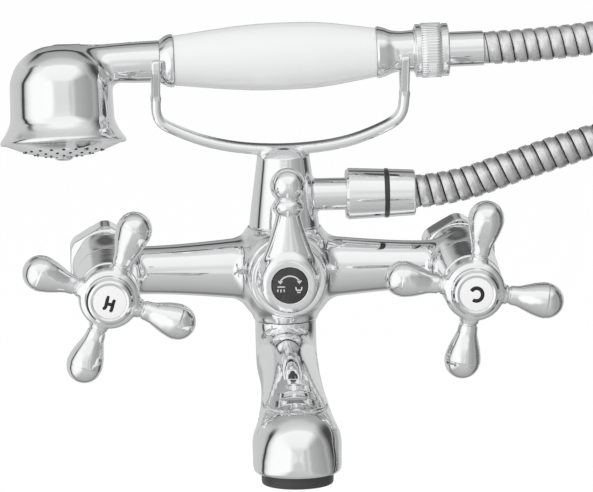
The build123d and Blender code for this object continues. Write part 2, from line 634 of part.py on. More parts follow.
def outlet_collar():
    """Collar crimped on the hose, with the tail that seals against the washer."""
    at = (0, -BAR_AXIS, OUTLET_Z)
    start = HOSE_NUT_END + HOSE_RING_WIDTH
    return turned([(HOSE_TAIL_START, HOSE_BORE_R), (HOSE_TAIL_START, OUTLET_R), (start, OUTLET_R),
                   (start, taper_r(start)), (HOSE_COLLAR_END - 0.8, HOSE_COLLAR_R),
                   (HOSE_COLLAR_END, HOSE_COLLAR_R - 0.8), (HOSE_COLLAR_END, HOSE_R + THREAD_FIT),
                   (HOSE_START, HOSE_R + THREAD_FIT), (HOSE_START, HOSE_BORE_R)], at, RIGHT)


def check_valve():
    """Plastic non-return cartridge inside the outlet."""
    at = (0, -BAR_AXIS, OUTLET_Z)
    start = OUTLET_END - CHECK_VALVE_LENGTH
    shell = ring(start, OUTLET_END - 0.5, OUTLET_BORE_R - 1.2, OUTLET_BORE_R - THREAD_FIT, at, RIGHT)
    shell += ring(start + 4, start + 5.2, 1.0, OUTLET_BORE_R - 0.6, at, RIGHT)
    return shell


def spout_sections(inset):
    """Oval sections of the tube, drawn in by `inset`: neck, elbow and the run that widens to the outlet."""
    radius = SPOUT_R - inset
    bend_top = SPOUT_RUN_Z + SPOUT_BEND_R
    rows = [(-BAR_AXIS, -BARREL_BOTTOM, 90.0, radius, radius)]
    for step in range(SPOUT_BEND_STEPS + 1):
        turn = 90.0 * step / SPOUT_BEND_STEPS
        angle = math.radians(turn)
        rows.append((-BAR_AXIS - SPOUT_BEND_R * (1 - math.cos(angle)), bend_top - SPOUT_BEND_R * math.sin(angle),
                     90.0 - turn, radius, radius))
    stations = [(-SPOUT_REACH + behind, SPOUT_RUN_Z - drop, half_width - inset, half_height - inset)
                for behind, drop, half_width, half_height in SPOUT_RUN]
    before = rows[-1]
    for y, z, half_width, half_height in stations:
        slope = math.degrees(math.atan2(before[1] - z, before[0] - y))
        rows.append((y, z, slope, half_width, half_height))
        before = (y, z)
    sections = []
    for y, z, slope, half_width, half_height in rows:
        heading = (0, -math.cos(math.radians(slope)), -math.sin(math.radians(slope)))
        place = Plane(origin=(0, y, z), x_dir=(1, 0, 0), z_dir=heading)
        sections.append(place * Ellipse(half_width + 0.005, half_height))
    return sections


def spout_form(inset):
    """Outer form of the spout, drawn in by `inset`: the tube and the domed outlet."""
    shoulder_z = SPOUT_OUTLET_Z + SPOUT_SHOULDER
    radius = SPOUT_OUTLET_R - inset
    rise = SPOUT_DOME - inset
    dome = [(shoulder_z + rise * math.sin(math.radians(turn)), radius * math.cos(math.radians(turn)))
            for turn in (18, 36, 54, 72)]
    outlet = turned([(SPOUT_LIP_Z, 0), (SPOUT_LIP_Z, radius), (shoulder_z, radius), dome + [(shoulder_z + rise, 0)]],
                    OUTLET_AT)
    return loft(spout_sections(inset), ruled=True) + outlet


SPOUT_PIVOT = Pos(0, -BAR_AXIS, 0) * Rot(0, 0, SPOUT_TURN) * Pos(0, BAR_AXIS, 0)


def spout():
    """Cast spout: neck that turns in the body, tube forwards and a bell-shaped outlet facing down."""
    skin = spout_form(0) - spout_form(SPOUT_WALL)
    skin += turned([(SPOUT_OUTLET_Z, AERATOR_THREAD_R + THREAD_FIT), (SPOUT_OUTLET_Z, SPOUT_OUTLET_R - 2.2),
                    [(SPOUT_OUTLET_Z + 0.8, SPOUT_OUTLET_R - 0.7), (SPOUT_LIP_Z, SPOUT_OUTLET_R)],
                    (SPOUT_LIP_Z + 3.0, SPOUT_OUTLET_R - 0.6), (SPOUT_LIP_Z + 3.0, AERATOR_THREAD_R + THREAD_FIT)], OUTLET_AT)
    neck_top = -BARREL_BOTTOM + SPOUT_NECK - FACE_GAP
    skin += ring(-BARREL_BOTTOM - SEAT_GAP, neck_top, SPOUT_NECK_R - SPOUT_WALL, SPOUT_NECK_R, CENTRE)
    skin += ring(-BARREL_BOTTOM - 3.0, -BARREL_BOTTOM - SEAT_GAP, SPOUT_NECK_R - SPOUT_WALL, SPOUT_R - 0.3, CENTRE)
    skin -= ring(-BARREL_BOTTOM - SEAT_GAP, -BARREL_BOTTOM + 0.01, SPOUT_NECK_R, SPOUT_R + 2, CENTRE)
    skin -= ring(GRUB_Z - GRUB_R - RUN_FIT, GRUB_Z + GRUB_R + RUN_FIT, SPOUT_NECK_R - 1.0, SPOUT_NECK_R + 1, CENTRE)
    skin -= ring(O_RING_Z, O_RING_Z + O_RING_HEIGHT, SPOUT_NECK_R - O_RING_DEPTH, SPOUT_NECK_R + 1, CENTRE)
    skin -= rod(SPOUT_OUTLET_Z - 1, SPOUT_LIP_Z + 3.0, AERATOR_THREAD_R + THREAD_FIT, OUTLET_AT)
    return SPOUT_PIVOT * skin


def aerator_ring():
    """Dark ring screwed into the outlet."""
    bottom = SPOUT_OUTLET_Z - AERATOR_DROP
    ring_solid = turned([(bottom, AERATOR_BORE_R), (bottom, AERATOR_R - 1.1), (bottom + 1.3, AERATOR_R - 0.2),
                         (SPOUT_OUTLET_Z, AERATOR_R), (SPOUT_OUTLET_Z, AERATOR_THREAD_R),
                         (SPOUT_OUTLET_Z + AERATOR_THREAD, AERATOR_THREAD_R),
                         (SPOUT_OUTLET_Z + AERATOR_THREAD, AERATOR_BORE_R + 0.8),
                         (bottom + 1.6, AERATOR_BORE_R + 0.8), (bottom + 1.6, AERATOR_BORE_R)], OUTLET_AT)
    return SPOUT_PIVOT * ring_solid


def aerator_insert():
    """Plastic insert with its holes, resting on the ring's inner lip."""
    bottom = SPOUT_OUTLET_Z - AERATOR_DROP + 1.6
    radius = AERATOR_BORE_R + 0.8 - THREAD_FIT
    insert = rod(bottom, SPOUT_OUTLET_Z + AERATOR_THREAD - 1.2, radius, OUTLET_AT)
    for count, at in ((1, 0), (6, 3.6), (12, 7.4)):
        for hole in range(count):
            angle = math.radians(360 * hole / count)
            where = (at * math.cos(angle), -SPOUT_REACH + at * math.sin(angle), 0)
            insert -= rod(bottom - 1, SPOUT_OUTLET_Z + AERATOR_THREAD, 1.1, where)
    return SPOUT_PIVOT * insert


def aerator_washer():
    """Rubber washer on top of the aerator."""
    top = SPOUT_OUTLET_Z + AERATOR_THREAD - 1.2
    return SPOUT_PIVOT * ring(top, top + 1.2, 8.5, AERATOR_BORE_R + 0.8 - THREAD_FIT, OUTLET_AT)


HANDSET = Pos(0, -BAR_AXIS, HANDSET_Z) * Rot(0, HANDSET_TILT, 0) * Rot(HANDSET_ROLL, 0, 0)
HEAD_AT = (HEAD_X, 0, 0)


def handset_head():
    """Bell-shaped head and neck in one casting, open below for the rose."""
    bell = turned([(HEAD_RIM_Z, 0), (HEAD_RIM_Z, HEAD_RIM_R - 0.6), (HEAD_RIM_Z + 0.7, HEAD_RIM_R),
                   (HEAD_RIM_Z + HEAD_SKIRT * 0.7, HEAD_DOME_R + 1.3),
                   [(HEAD_RIM_Z + HEAD_SKIRT, HEAD_DOME_R + 0.5), (HEAD_RIM_Z + HEAD_SKIRT + 4.0, HEAD_DOME_R)],
                   (-8.0, HEAD_DOME_R - 0.2),
                   [(-1.5, HEAD_DOME_R - 2.0), (4.5, HEAD_DOME_R - 7.0), (HEAD_TOP - 1.0, 8.0), (HEAD_TOP, 0.0)]],
                  HEAD_AT)
    neck = turned([(HEAD_X, 0), (HEAD_X, NECK_R - 0.6), (HEAD_X + 19, NECK_R - 0.4), (FERRULE_START, NECK_R),
                   (FERRULE_START, 0)], (0, 0, 0), RIGHT)
    head = bell + neck
    seat = HEAD_RIM_Z + ROSE_SEAT
    cavity = turned([(HEAD_RIM_Z - 1, 0), (HEAD_RIM_Z - 1, ROSE_R + THREAD_FIT), (seat, ROSE_R + THREAD_FIT),
                     (seat, GASKET_R - 0.1), (HEAD_RIM_Z + 14.0, HEAD_DOME_R - HEAD_WALL - 0.4),
                     (-8.0, HEAD_DOME_R - HEAD_WALL - 0.6),
                     (HEAD_TOP - 8.0, HEAD_DOME_R - HEAD_WALL - 6.0), (HEAD_TOP - 2.6, 4.0),
                     (HEAD_TOP - 2.6, 0)], HEAD_AT)
    head -= cavity
    head += ring(POST_BOTTOM, HEAD_TOP - 2.0, ROSE_SCREW_SHANK_R + THREAD_FIT, POST_R, HEAD_AT)
    return HANDSET * (head - rod(HEAD_X, FERRULE_START + 1, NECK_BORE_R, (0, 0, 0), RIGHT))


def rose_plate():
    """Shallow dome with rings of spray holes."""
    rim = HEAD_RIM_Z + ROSE_EDGE
    tip = HEAD_RIM_Z - ROSE_DROP
    flat = ROSE_SCREW_R + 0.6
    hole = ROSE_SCREW_SHANK_R + RUN_FIT
    outer = [(HEAD_RIM_Z - ROSE_DROP * (1 - share ** 2), ROSE_R * share) for share in (0.85, 0.7, 0.5, 0.3)]
    inner_r = ROSE_R - ROSE_THICKNESS
    inner = [(HEAD_RIM_Z + ROSE_THICKNESS - ROSE_DROP * (1 - share ** 2), inner_r * share)
             for share in (0.85, 0.7, 0.5, 0.3)]
    plate = turned([(rim, hole), (rim, ROSE_R), (HEAD_RIM_Z, ROSE_R), outer + [(tip, flat)], (tip, hole)], HEAD_AT)
    plate -= turned([(rim + 1, hole), (rim + 1, inner_r), (HEAD_RIM_Z + ROSE_THICKNESS - 0.2, inner_r),
                     inner + [(tip + ROSE_THICKNESS, flat)], (tip + ROSE_THICKNESS, hole)], HEAD_AT)
    jets = []
    for count, at in zip(ROSE_JET_COUNTS, ROSE_JET_RINGS):
        for jet in range(count):
            angle = math.radians(360 * jet / count)
            where = (HEAD_X + at * math.cos(angle), at * math.sin(angle), 0)
            jets.append(rod(tip - 1, rim + 1, ROSE_HOLE_R, where))
    return HANDSET * (plate - jets)


def rose_screw():
    """Centre screw with its low round head under the rose."""
    tip = HEAD_RIM_Z - ROSE_DROP
    return HANDSET * turned([(tip - ROSE_SCREW_HEAD, 0), (tip - ROSE_SCREW_HEAD, ROSE_SCREW_R - 1.2),
                             (tip - ROSE_SCREW_HEAD + 0.8, ROSE_SCREW_R - 0.2), (tip, ROSE_SCREW_R),
                             (tip, ROSE_SCREW_SHANK_R), (ROSE_SCREW_TOP, ROSE_SCREW_SHANK_R),
                             (ROSE_SCREW_TOP, 0)], HEAD_AT)


def rose_gasket():
    """Rubber ring between the rose and the head."""
    return HANDSET * ring(HEAD_RIM_Z + ROSE_EDGE, HEAD_RIM_Z + ROSE_SEAT, GASKET_R, ROSE_R - 0.2, HEAD_AT)


def front_ferrule():
    """Rounded chrome collar between the neck and the grip."""
    middle = (FERRULE_START + GRIP_START) / 2
    return HANDSET * turned([(FERRULE_START, GRIP_TUBE_R + THREAD_FIT), (FERRULE_START, NECK_R + 0.15),
                             [(FERRULE_START + 1.6, NECK_R + 1.1), (middle + 0.8, FERRULE_R - 0.1),
                              (GRIP_START - 1.2, FERRULE_R), (GRIP_START, FERRULE_R - 0.7)],
                             (GRIP_START, GRIP_TUBE_R + THREAD_FIT)], (0, 0, 0), RIGHT)


def handset_grip():
    """Porcelain grip, thickest in the middle, over the metal tube."""
    return HANDSET * turned([(GRIP_START, GRIP_BORE_R), (GRIP_START, GRIP_END_R),
                             [(GRIP_START + 14, GRIP_END_R + 1.75), (GRIP_WIDEST - 14, GRIP_R - 0.25),
                              (GRIP_WIDEST, GRIP_R), (GRIP_WIDEST + 14, GRIP_R - 0.35),
                              (GRIP_END - 12, GRIP_END_R + 1.6), (GRIP_END, GRIP_END_R - 0.1)],
                             (GRIP_END, GRIP_BORE_R)], (0, 0, 0), RIGHT)


def grip_tube():
    """Inner tube that carries water through the grip and clamps it."""
    return HANDSET * ring(FERRULE_START, GRIP_END + 4, GRIP_TUBE_BORE_R, GRIP_TUBE_R, (0, 0, 0), RIGHT)


def handset_tail():
    """Waisted chrome tail, threaded at its end for the hose."""
    return HANDSET * turned([(GRIP_END, GRIP_TUBE_R + THREAD_FIT), (GRIP_END, TAIL_FLARE_R - 0.3),
                             (GRIP_END + 0.8, TAIL_FLARE_R),
                             [(GRIP_END + 4.0, TAIL_WAIST_R + 1.6), (TAIL_WAIST_X - 3.0, TAIL_WAIST_R + 0.15),
                              (TAIL_WAIST_X, TAIL_WAIST_R), (TAIL_THREAD_START - 0.6, TAIL_WAIST_R + 0.3)],
                             (TAIL_THREAD_START - 0.6, TAIL_THREAD_R), (TAIL_THREAD_END, TAIL_THREAD_R),
                             (TAIL_THREAD_END, GRIP_TUBE_BORE_R), (GRIP_END + 4, GRIP_TUBE_BORE_R),
                             (GRIP_END + 4, GRIP_TUBE_R + THREAD_FIT)], (0, 0, 0), RIGHT)


def grip_washers():
    """Thin washers at both ends of the grip, inside its bore."""
    pair = []
    for start in (GRIP_START, GRIP_END - 1.0):
        pair.append(HANDSET * ring(start, start + 1.0, GRIP_TUBE_R + THREAD_FIT, GRIP_BORE_R - THREAD_FIT,
                                   (0, 0, 0), RIGHT))
    return Compound(pair)


def knurled_nut():
    """Hose nut with a knurled band between two smooth lips."""
    nut = turned([(KNURL_NUT_START, TAIL_THREAD_R + RUN_FIT), (KNURL_NUT_START, KNURL_LIP_R - 0.4),
                  (KNURL_NUT_START + 0.4, KNURL_LIP_R), (KNURL_START, KNURL_LIP_R), (KNURL_START, KNURL_R),
                  (KNURL_END, KNURL_R), (KNURL_END, KNURL_LIP_R), (KNURL_NUT_END - 0.4, KNURL_LIP_R),
                  (KNURL_NUT_END, KNURL_LIP_R - 0.4), (KNURL_NUT_END, HOSE_FERRULE_R + RUN_FIT),
                  (KNURL_NUT_END - 3.4, HOSE_FERRULE_R + RUN_FIT), (KNURL_NUT_END - 3.4, TAIL_THREAD_R + RUN_FIT)],
                 (0, 0, 0), RIGHT)
    middle = (KNURL_START + KNURL_END) / 2
    length = KNURL_END - KNURL_START
    width = math.pi * KNURL_R / KNURL_TEETH
    groove = Pos(middle, 0, KNURL_R) * Box(length, width, 2 * KNURL_DEPTH)
    grooves = [Rot(360 * tooth / KNURL_TEETH, 0, 0) * groove for tooth in range(KNURL_TEETH)]
    return HANDSET * (nut - grooves)


def hose_ferrule():
    """Smooth sleeve crimped on the hose's end, held by its flange inside the knurled nut."""
    flange = TAIL_THREAD_END + HOSE_WASHER
    return HANDSET * turned([(flange, HOSE_BORE_R), (flange, TAIL_THREAD_R - 0.2),
                             (KNURL_NUT_END - 3.4 - FACE_GAP, TAIL_THREAD_R - 0.2),
                             (KNURL_NUT_END - 3.4 - FACE_GAP, HOSE_FERRULE_R), (HOSE_FERRULE_END, HOSE_FERRULE_R),
                             (HOSE_FERRULE_END, HOSE_BORE_R)], (0, 0, 0), RIGHT)


def handset_washer():
    """Rubber washer between the tail's end and the hose's ferrule."""
    return HANDSET * ring(TAIL_THREAD_END, TAIL_THREAD_END + HOSE_WASHER, HOSE_BORE_R, TAIL_THREAD_R - 0.2,
                          (0, 0, 0), RIGHT)


def hose_corners():
    """The route's points in space; its last lies on the ferrule's end face."""
    points = [Vector(x, -BAR_AXIS, z) for x, z in HOSE_ROUTE]
    points[0] = Vector(HOSE_START, -BAR_AXIS, OUTLET_Z)
    points[-1] = Vector((HANDSET * Pos(HOSE_FERRULE_END, 0, 0)).position)
    run = (points[-1] - points[-2]).length
    points[-2] = Vector((HANDSET * Pos(HOSE_FERRULE_END + run, 0, 0)).position)
    return points


def hose_radii(points):
    """Largest arc that the two runs at each corner allow."""
    radii = []
    for before, corner, after in zip(points, points[1:], points[2:]):
        first, second = corner - before, after - corner
        turn = math.radians(first.get_angle(second))
        radii.append(0.45 * min(first.length, second.length) / math.tan(turn / 2))
    return radii


def outside_faces(solid, ends):
    """The faces of a long solid without its two end caps."""
    return [face for face in solid.faces()
            if min((face.center() - end.origin).length for end in ends) > 0.01]


def shower_hose():
    """Ribbed metal hose: straight ends one diameter long, ribs between them, and its bore."""
    points = hose_corners()
    radii = hose_radii(points)
    path = FilletPolyline(points, radius=radii)
    print("hose radii", [round(r) for r in radii], "length", round(path.length, 1))
    plain = 2 * HOSE_R
    ribs = round((path.length - 2 * plain) / HOSE_RIB_PITCH)
    pitch = (path.length - 2 * plain) / ribs
    low = HOSE_R - HOSE_GROOVE
    stations = [(0.0, HOSE_R)]
    for rib in range(ribs):
        start = plain + rib * pitch
        stations += [(start + 0.06 * pitch, low), (start + 0.20 * pitch, HOSE_R), (start + 0.82 * pitch, HOSE_R),
                     (start + 0.94 * pitch, low)]
    stations[1:1] = [(plain - 0.3, HOSE_R)]
    stations += [(path.length - plain + 0.3, HOSE_R), (path.length, HOSE_R)]
    circles = []
    for distance, radius in stations:
        share = distance / path.length
        where = Plane(origin=path @ share, x_dir=(0, 1, 0), z_dir=path % share)
        circles.append(where * Circle(radius))
    start, end = [Plane(origin=path @ share, x_dir=(0, 1, 0), z_dir=path % share) for share in (0, 1)]
    outside = loft(circles, ruled=True)
    bore = sweep(start * Circle(HOSE_BORE_R), path)
    skins = outside_faces(outside, (start, end)) + outside_faces(bore, (start, end))
    caps = [(place * (Circle(HOSE_R) - Circle(HOSE_BORE_R))).face() for place in (start, end)]
    hose = Solid(Shell(skins + caps))
    mean_area = math.pi * (HOSE_R ** 2 - HOSE_BORE_R ** 2)
    print("hose ribs", ribs, "volume", round(hose.volume), "plain tube", round(mean_area * path.length))
    return hose


def spout_o_ring():
    """Rubber ring in the groove of the spout's neck."""
    return ring(O_RING_Z, O_RING_Z + O_RING_HEIGHT, SPOUT_NECK_R - O_RING_DEPTH, SPOUT_NECK_R, CENTRE)


save("mixer_body", mixer_body())
for side, inlet_x in INLETS.items():
    valve_start = SEAT_FRONT + VALVE_SEAL
    save(f"union_nut_{side}", union_nut(inlet_x))
    save(f"inlet_tail_{side}", inlet_tail(inlet_x))
    save(f"inlet_washer_{side}", ring(WASHER_START, FLANGE_START, TAIL_BORE_R, FLANGE_R, (inlet_x, 0, 0), FORWARD))
    save(f"valve_seal_{side}", ring(SEAT_FRONT, valve_start, SEAT_HOLE_R, VALVE_BORE_R - 0.6, (inlet_x, 0, 0), FORWARD))
    save(f"headwork_{side}", headwork(inlet_x))
    save(f"fixed_disc_{side}", ceramic_disc(inlet_x, valve_start))
    save(f"moving_disc_{side}", ceramic_disc(inlet_x, valve_start + DISC_THICKNESS))
    save(f"spindle_{side}", spindle(inlet_x))
    save(f"valve_shroud_{side}", valve_shroud(inlet_x))
    save(f"cross_handle_{side}", cross_handle(side))
    save(f"handle_screw_{side}", cap_screw(inlet_x, SPINDLE_END + 2.0, SCREW_LENGTH))
    save(f"index_ring_{side}", index_ring(inlet_x))
    save(f"index_disc_{side}", index_disc(inlet_x))
save("diverter_housing", diverter_housing())
save("diverter_rotor", diverter_rotor())
save("diverter_spindle", diverter_spindle())
save("diverter_lever", diverter_lever())
save("lever_screw", cap_screw(0, LEVER_SCREW_SEAT, LEVER_SCREW_LENGTH))
save("lever_badge", lever_badge())
save("column", column())
save("cradle", cradle())
save("outlet_spigot", outlet_spigot())
save("check_valve", check_valve())
save("outlet_nut", outlet_nut())
save("outlet_washer", outlet_washer())
save("outlet_ring", outlet_ring())
save("outlet_collar", outlet_collar())
save("spout", spout())
save("spout_o_ring", spout_o_ring())
save("spout_grub_screw", grub_screw())
save("aerator_ring", aerator_ring())
save("aerator_insert", aerator_insert())
save("aerator_washer", aerator_washer())
save("handset_head", handset_head())
save("rose_plate", rose_plate())
save("rose_screw", rose_screw())
save("rose_gasket", rose_gasket())
save("front_ferrule", front_ferrule())
save("handset_grip", handset_grip())
save("grip_tube", grip_tube())
save("grip_washers", grip_washers())
save("handset_tail", handset_tail())
save("handset_washer", handset_washer())
save("knurled_nut", knurled_nut())
save("hose_ferrule", hose_ferrule())
save("shower_hose", shower_hose())
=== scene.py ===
import json
import math

import bpy
import numpy as np
from mathutils import Matrix, Vector


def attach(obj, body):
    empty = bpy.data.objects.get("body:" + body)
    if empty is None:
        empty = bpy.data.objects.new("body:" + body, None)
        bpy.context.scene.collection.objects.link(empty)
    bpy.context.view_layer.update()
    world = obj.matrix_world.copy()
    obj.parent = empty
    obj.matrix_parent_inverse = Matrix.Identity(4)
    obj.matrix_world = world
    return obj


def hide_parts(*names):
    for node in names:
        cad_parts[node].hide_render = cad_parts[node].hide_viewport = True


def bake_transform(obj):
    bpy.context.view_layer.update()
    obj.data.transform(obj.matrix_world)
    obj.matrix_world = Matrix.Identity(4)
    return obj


# Bath mixer: the looks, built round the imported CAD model. Sizes below are millimetres in the CAD frame:
# the origin on the wall midway between the inlets, +X to the cold side, +Y into the wall, +Z up.
MM = 0.001

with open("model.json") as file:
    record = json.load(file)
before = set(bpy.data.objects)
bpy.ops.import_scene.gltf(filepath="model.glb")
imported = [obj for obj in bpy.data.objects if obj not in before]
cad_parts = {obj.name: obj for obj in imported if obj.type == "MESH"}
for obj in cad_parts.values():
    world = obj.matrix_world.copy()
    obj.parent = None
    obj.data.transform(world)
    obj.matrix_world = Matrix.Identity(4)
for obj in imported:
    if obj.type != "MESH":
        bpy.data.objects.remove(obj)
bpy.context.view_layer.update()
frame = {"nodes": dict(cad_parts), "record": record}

# Camera: the photograph's view of the point FOCUS, which is seen at the pixel FOCUS_PIXEL
PICTURE = (593, 492)
AZIMUTH = math.radians(-2.5)
ELEVATION = math.radians(9.7)
ROLL = math.radians(0.8)
DISTANCE = 2425.0
PIXELS_PER_MM = 2.35
FOCUS = Vector((0.0, -9.0, 0.0))
FOCUS_PIXEL = (282.2, 257.6)
SENSOR = 36.0

# The body
BAR_AXIS = 33.0
INLET_X = 75.0
INLETS = {"hot": -INLET_X, "cold": INLET_X}
ORIGIN = (0.0, 0.0, 0.0)
CENTRE = (0.0, -BAR_AXIS, 0.0)
FORWARD = (0.0, -1.0, 0.0)
RIGHT = (1.0, 0.0, 0.0)
UP = (0.0, 0.0, 1.0)
NUT_END = 18.0
NUT_FLATS = 30.0
NUT_CORNER_R = 16.5
NUT_THREAD_R = 13.25
NUT_THREAD_END = 8.0
NUT_LIP = 3.2
BODY_BACK = 18.3
BOSS_BACK_R = 14.4
BOSS_FRONT = 56.0
BOSS_FRONT_R = 13.6
SHROUD_END = 86.4
SHROUD_FRONT_R = 12.75
SHROUD_INNER_R = 11.4
SHROUD_BORE_R = 4.3
SHROUD_WALL = 1.3
ARM_END_R = 10.1
FRONT_BOSS_R = 16.6
FRONT_BOSS_END = 54.0
HOUSING_R = 15.9
HOUSING_FRONT = 66.0
OPEN_FRONT = 60.0
VALVE_BORE_R = 10.0
CHAMBER_R = 11.0
CHAMBER_BACK = 21.0
SEAT_FRONT = 27.0
TAIL_R = 9.0
TAIL_END = 24.3
WATERWAY_R = 5.5
BARREL_TOP = 17.5
BARREL_BOTTOM = 21.9
COLUMN_BORE_R = 9.45
SPOUT_NECK_R = 9.46

# Holes are this much wider than the hidden solids in them, and their edges are this soft
FACE_FIT = 0.02
LOOSE_FIT = 0.05
HOLE_EDGE = 0.3

# The handles
HUB_BACK = 87.2
HUB_FRONT = 102.0
HUB_R = 12.65
NOSE_R = 9.8
NOSE_END = 104.2
ARM_PLANE = 97.0
HANDLE_BALL_AT = 30.0
HANDLE_BALL_R = 7.35
HANDLE_TURNS = {"hot": -21.0, "cold": -10.0}
INDEX_RING_R = 9.7
INDEX_FRONT = 108.5
INDEX_SEAT = 106.1
INDEX_DISC_R = 6.9
INDEX_DISC_EDGE = 108.2
INDEX_CROWN = 0.5
SPINDLE_BORE_R = 4.05
SPINDLE_BORE_END = 94.05
SCREW_BORE_R = 4.1
SCREW_SEAT = 95.5

# The diverter's lever
LEVER_BACK = 66.5
LEVER_FRONT = 78.0
LEVER_R = 12.2
LEVER_BALL = (0.0, -70.0, 40.6)
LEVER_BALL_R = 7.35
LEVER_BORE_END = 72.6
NECK_BEAD = (0.0, -70.3, 31.9)
NECK_BEAD_R = 6.6
NECK_BEAD_FLATNESS = 1.4
BADGE_R = 7.4
BADGE_SEAT = 77.0
BADGE_EDGE = 78.4
BADGE_CROWN = 0.8
MARK_LIFT = 0.04

# Column, cradle and hose outlet
COLUMN_FOOT_R = 14.7
COLUMN_TOP = 48.4
OUTLET_Z = 30.8
OUTLET_AT = (0.0, -BAR_AXIS, OUTLET_Z)
OUTLET_R = 6.8
OUTLET_BORE_R = 4.6
HOSE_NUT_START = 26.0
HOSE_NUT_END = 42.2
HOSE_RING_END = 44.1
HOSE_COLLAR_END = 55.3

# The spout
SPOUT_TURN = math.radians(-0.6)
SPOUT_R = 12.8
SPOUT_BEND_R = 15.0
SPOUT_RUN_Z = -38.3
SPOUT_OUTLET_Z = -62.9
SPOUT_REACH = 152.0
SPOUT_WALL = 2.4
AERATOR_BOTTOM = -67.6

# The handset lies along its own axis, x from head to hose and z up
HANDSET_Z = 89.65
HANDSET_TILT = math.radians(-1.25)
HANDSET_ROLL = math.radians(-11.0)
HEAD_X = -92.9
HEAD_AT = (HEAD_X, 0.0, 0.0)
HEAD_RIM_Z = -32.9
HEAD_RIM_R = 26.4
ROSE_R = 24.2
ROSE_SEAT = 2.0
ROSE_EDGE = 1.6
ROSE_DROP = 5.8
ROSE_WALL = 1.6
ROSE_HOLE_R = 0.62
# radius of the black plugs that paint the shade in the spray holes
SHADE_PLUG_R = 0.56
ROSE_RINGS = ((8, 7.5), (14, 12.0), (20, 16.5))
ROSE_SCREW_R = 3.9
ROSE_SCREW_HEAD = 1.3
NECK_R = 8.8
FERRULE_START = -51.3
GRIP_START = -45.4
GRIP_END = 39.5
TAIL_WAIST_R = 8.45
KNURL_NUT_START = 55.9
KNURL_NUT_END = 69.9
KNURL_TEETH = 56
KNURL_START = 58.4
KNURL_END = 66.7
KNURL_DEPTH = 0.5
HOSE_FERRULE_R = 7.3
HOSE_FERRULE_END = 84.65

# The cradle: each fork's place along the handset and the radius that it holds
FORKS = ((-53.1, NECK_R), (51.3, TAIL_WAIST_R))
SEAT_GAP = 0.45
FORK_THICKNESS = 3.2
FORK_HALF_WIDTH = 1.85
FORK_BOTTOM_Z = 71.1
FORK_TIP_Z = 88.9
FORK_BEND_R = 3.5
FORK_SHOULDER_Y = 11.2
STRAP_HALF_DEPTH = 4.6
STRAP_HALF_HEIGHT = 2.0
STRAP_CROWN = 0.8

# The hose: route of X and Z at the bar's depth, in metres
HOSE_ROUTE = [
    (0.0445, 0.0308), (0.0680, 0.0308), (0.1010, 0.0424), (0.1460, 0.0560), (0.1834, 0.0495), (0.2139, 0.0268),
    (0.2310, -0.0071), (0.2330, -0.0800), (0.2310, -0.1500), (0.2325, -0.2120), (0.2310, -0.2660),
    (0.2610, -0.3073), (0.3095, -0.3231), (0.3580, -0.3073), (0.3880, -0.2660), (0.3895, -0.2050),
    (0.3900, -0.1400), (0.3880, -0.0702), (0.3517, 0.0121), (0.2852, 0.0728), (0.1999, 0.1015),
    (0.1500, 0.0970), (0.1060, 0.09196), (0.08465, 0.0915),
]
HOSE_PITCH = 5.3
HOSE_BORE_R = 4.5
HOSE_END_R = 6.6
HOSE_PLAIN_END = 4.0
AROUND_HOSE = 40
# one turn of the wound strip: part of the turn and radius; stations 9, 0, 1 and 2 are the seam's groove,
# coloured near black as painted shade
STRIP = [(0.0, 6.1), (0.035, 6.1), (0.05, 6.8), (0.08, 6.98), (0.35, 7.0), (0.62, 6.98), (0.68, 6.8),
         (0.72, 6.56), (0.945, 6.52), (0.965, 6.1)]
SEAM = (9, 0, 1, 2)

# The studio: a wide soft light at the upper left, a dimmer right side, a pale sweep behind, and dark gaps
# where the sweep ends. Stops: angle in degrees from the front, grey.
AROUND = [(-180, 0.66), (-135, 0.62), (-108, 0.58), (-102, 0.40), (-99.5, 0.05), (-94, 0.06), (-90.5, 0.50),
          (-84, 0.80), (-76, 0.97), (-70, 1.03), (-22, 1.05), (-13, 0.82), (10, 0.80), (19, 0.55), (26, 0.68),
          (34, 0.47), (70, 0.34), (80, 0.42), (92, 0.22), (101, 0.06), (113, 0.07), (122, 0.30), (136, 0.58),
          (180, 0.72)]
OVER = [(-180, 0.50), (-170, 0.46), (-150, 0.55), (-132, 0.62), (-120, 0.28), (-106, 0.20), (-97, 0.36),
        (-60, 0.48), (-20, 0.60), (0, 0.70), (15, 0.76), (28, 0.92), (66, 0.98), (73, 0.76), (98, 0.62),
        (106, 0.45), (124, 0.36), (129, 0.06), (137, 0.06), (141, 0.40), (158, 0.36), (165, 0.32),
        (166.2, 0.08), (167.6, 0.08), (168.0, 0.34), (170.2, 0.34), (170.8, 0.08), (173.4, 0.10), (175.0, 0.46)]
PLAIN_LIGHT = 0.92
FLOOR_Z = -345.0
FLOOR_SIZE = 30000.0
FLOOR_GREY = 0.9
FLOOR_GLOW = 1.06
FLOOR_GLOW_SHARE = 0.7

HANDSET = (Matrix.Translation((0.0, -BAR_AXIS, HANDSET_Z)) @ Matrix.Rotation(HANDSET_TILT, 4, "Y")
           @ Matrix.Rotation(HANDSET_ROLL, 4, "X"))
SPOUT = (Matrix.Translation((0.0, -BAR_AXIS, 0.0)) @ Matrix.Rotation(SPOUT_TURN, 4, "Z")
         @ Matrix.Translation((0.0, BAR_AXIS, 0.0)))


# Camera

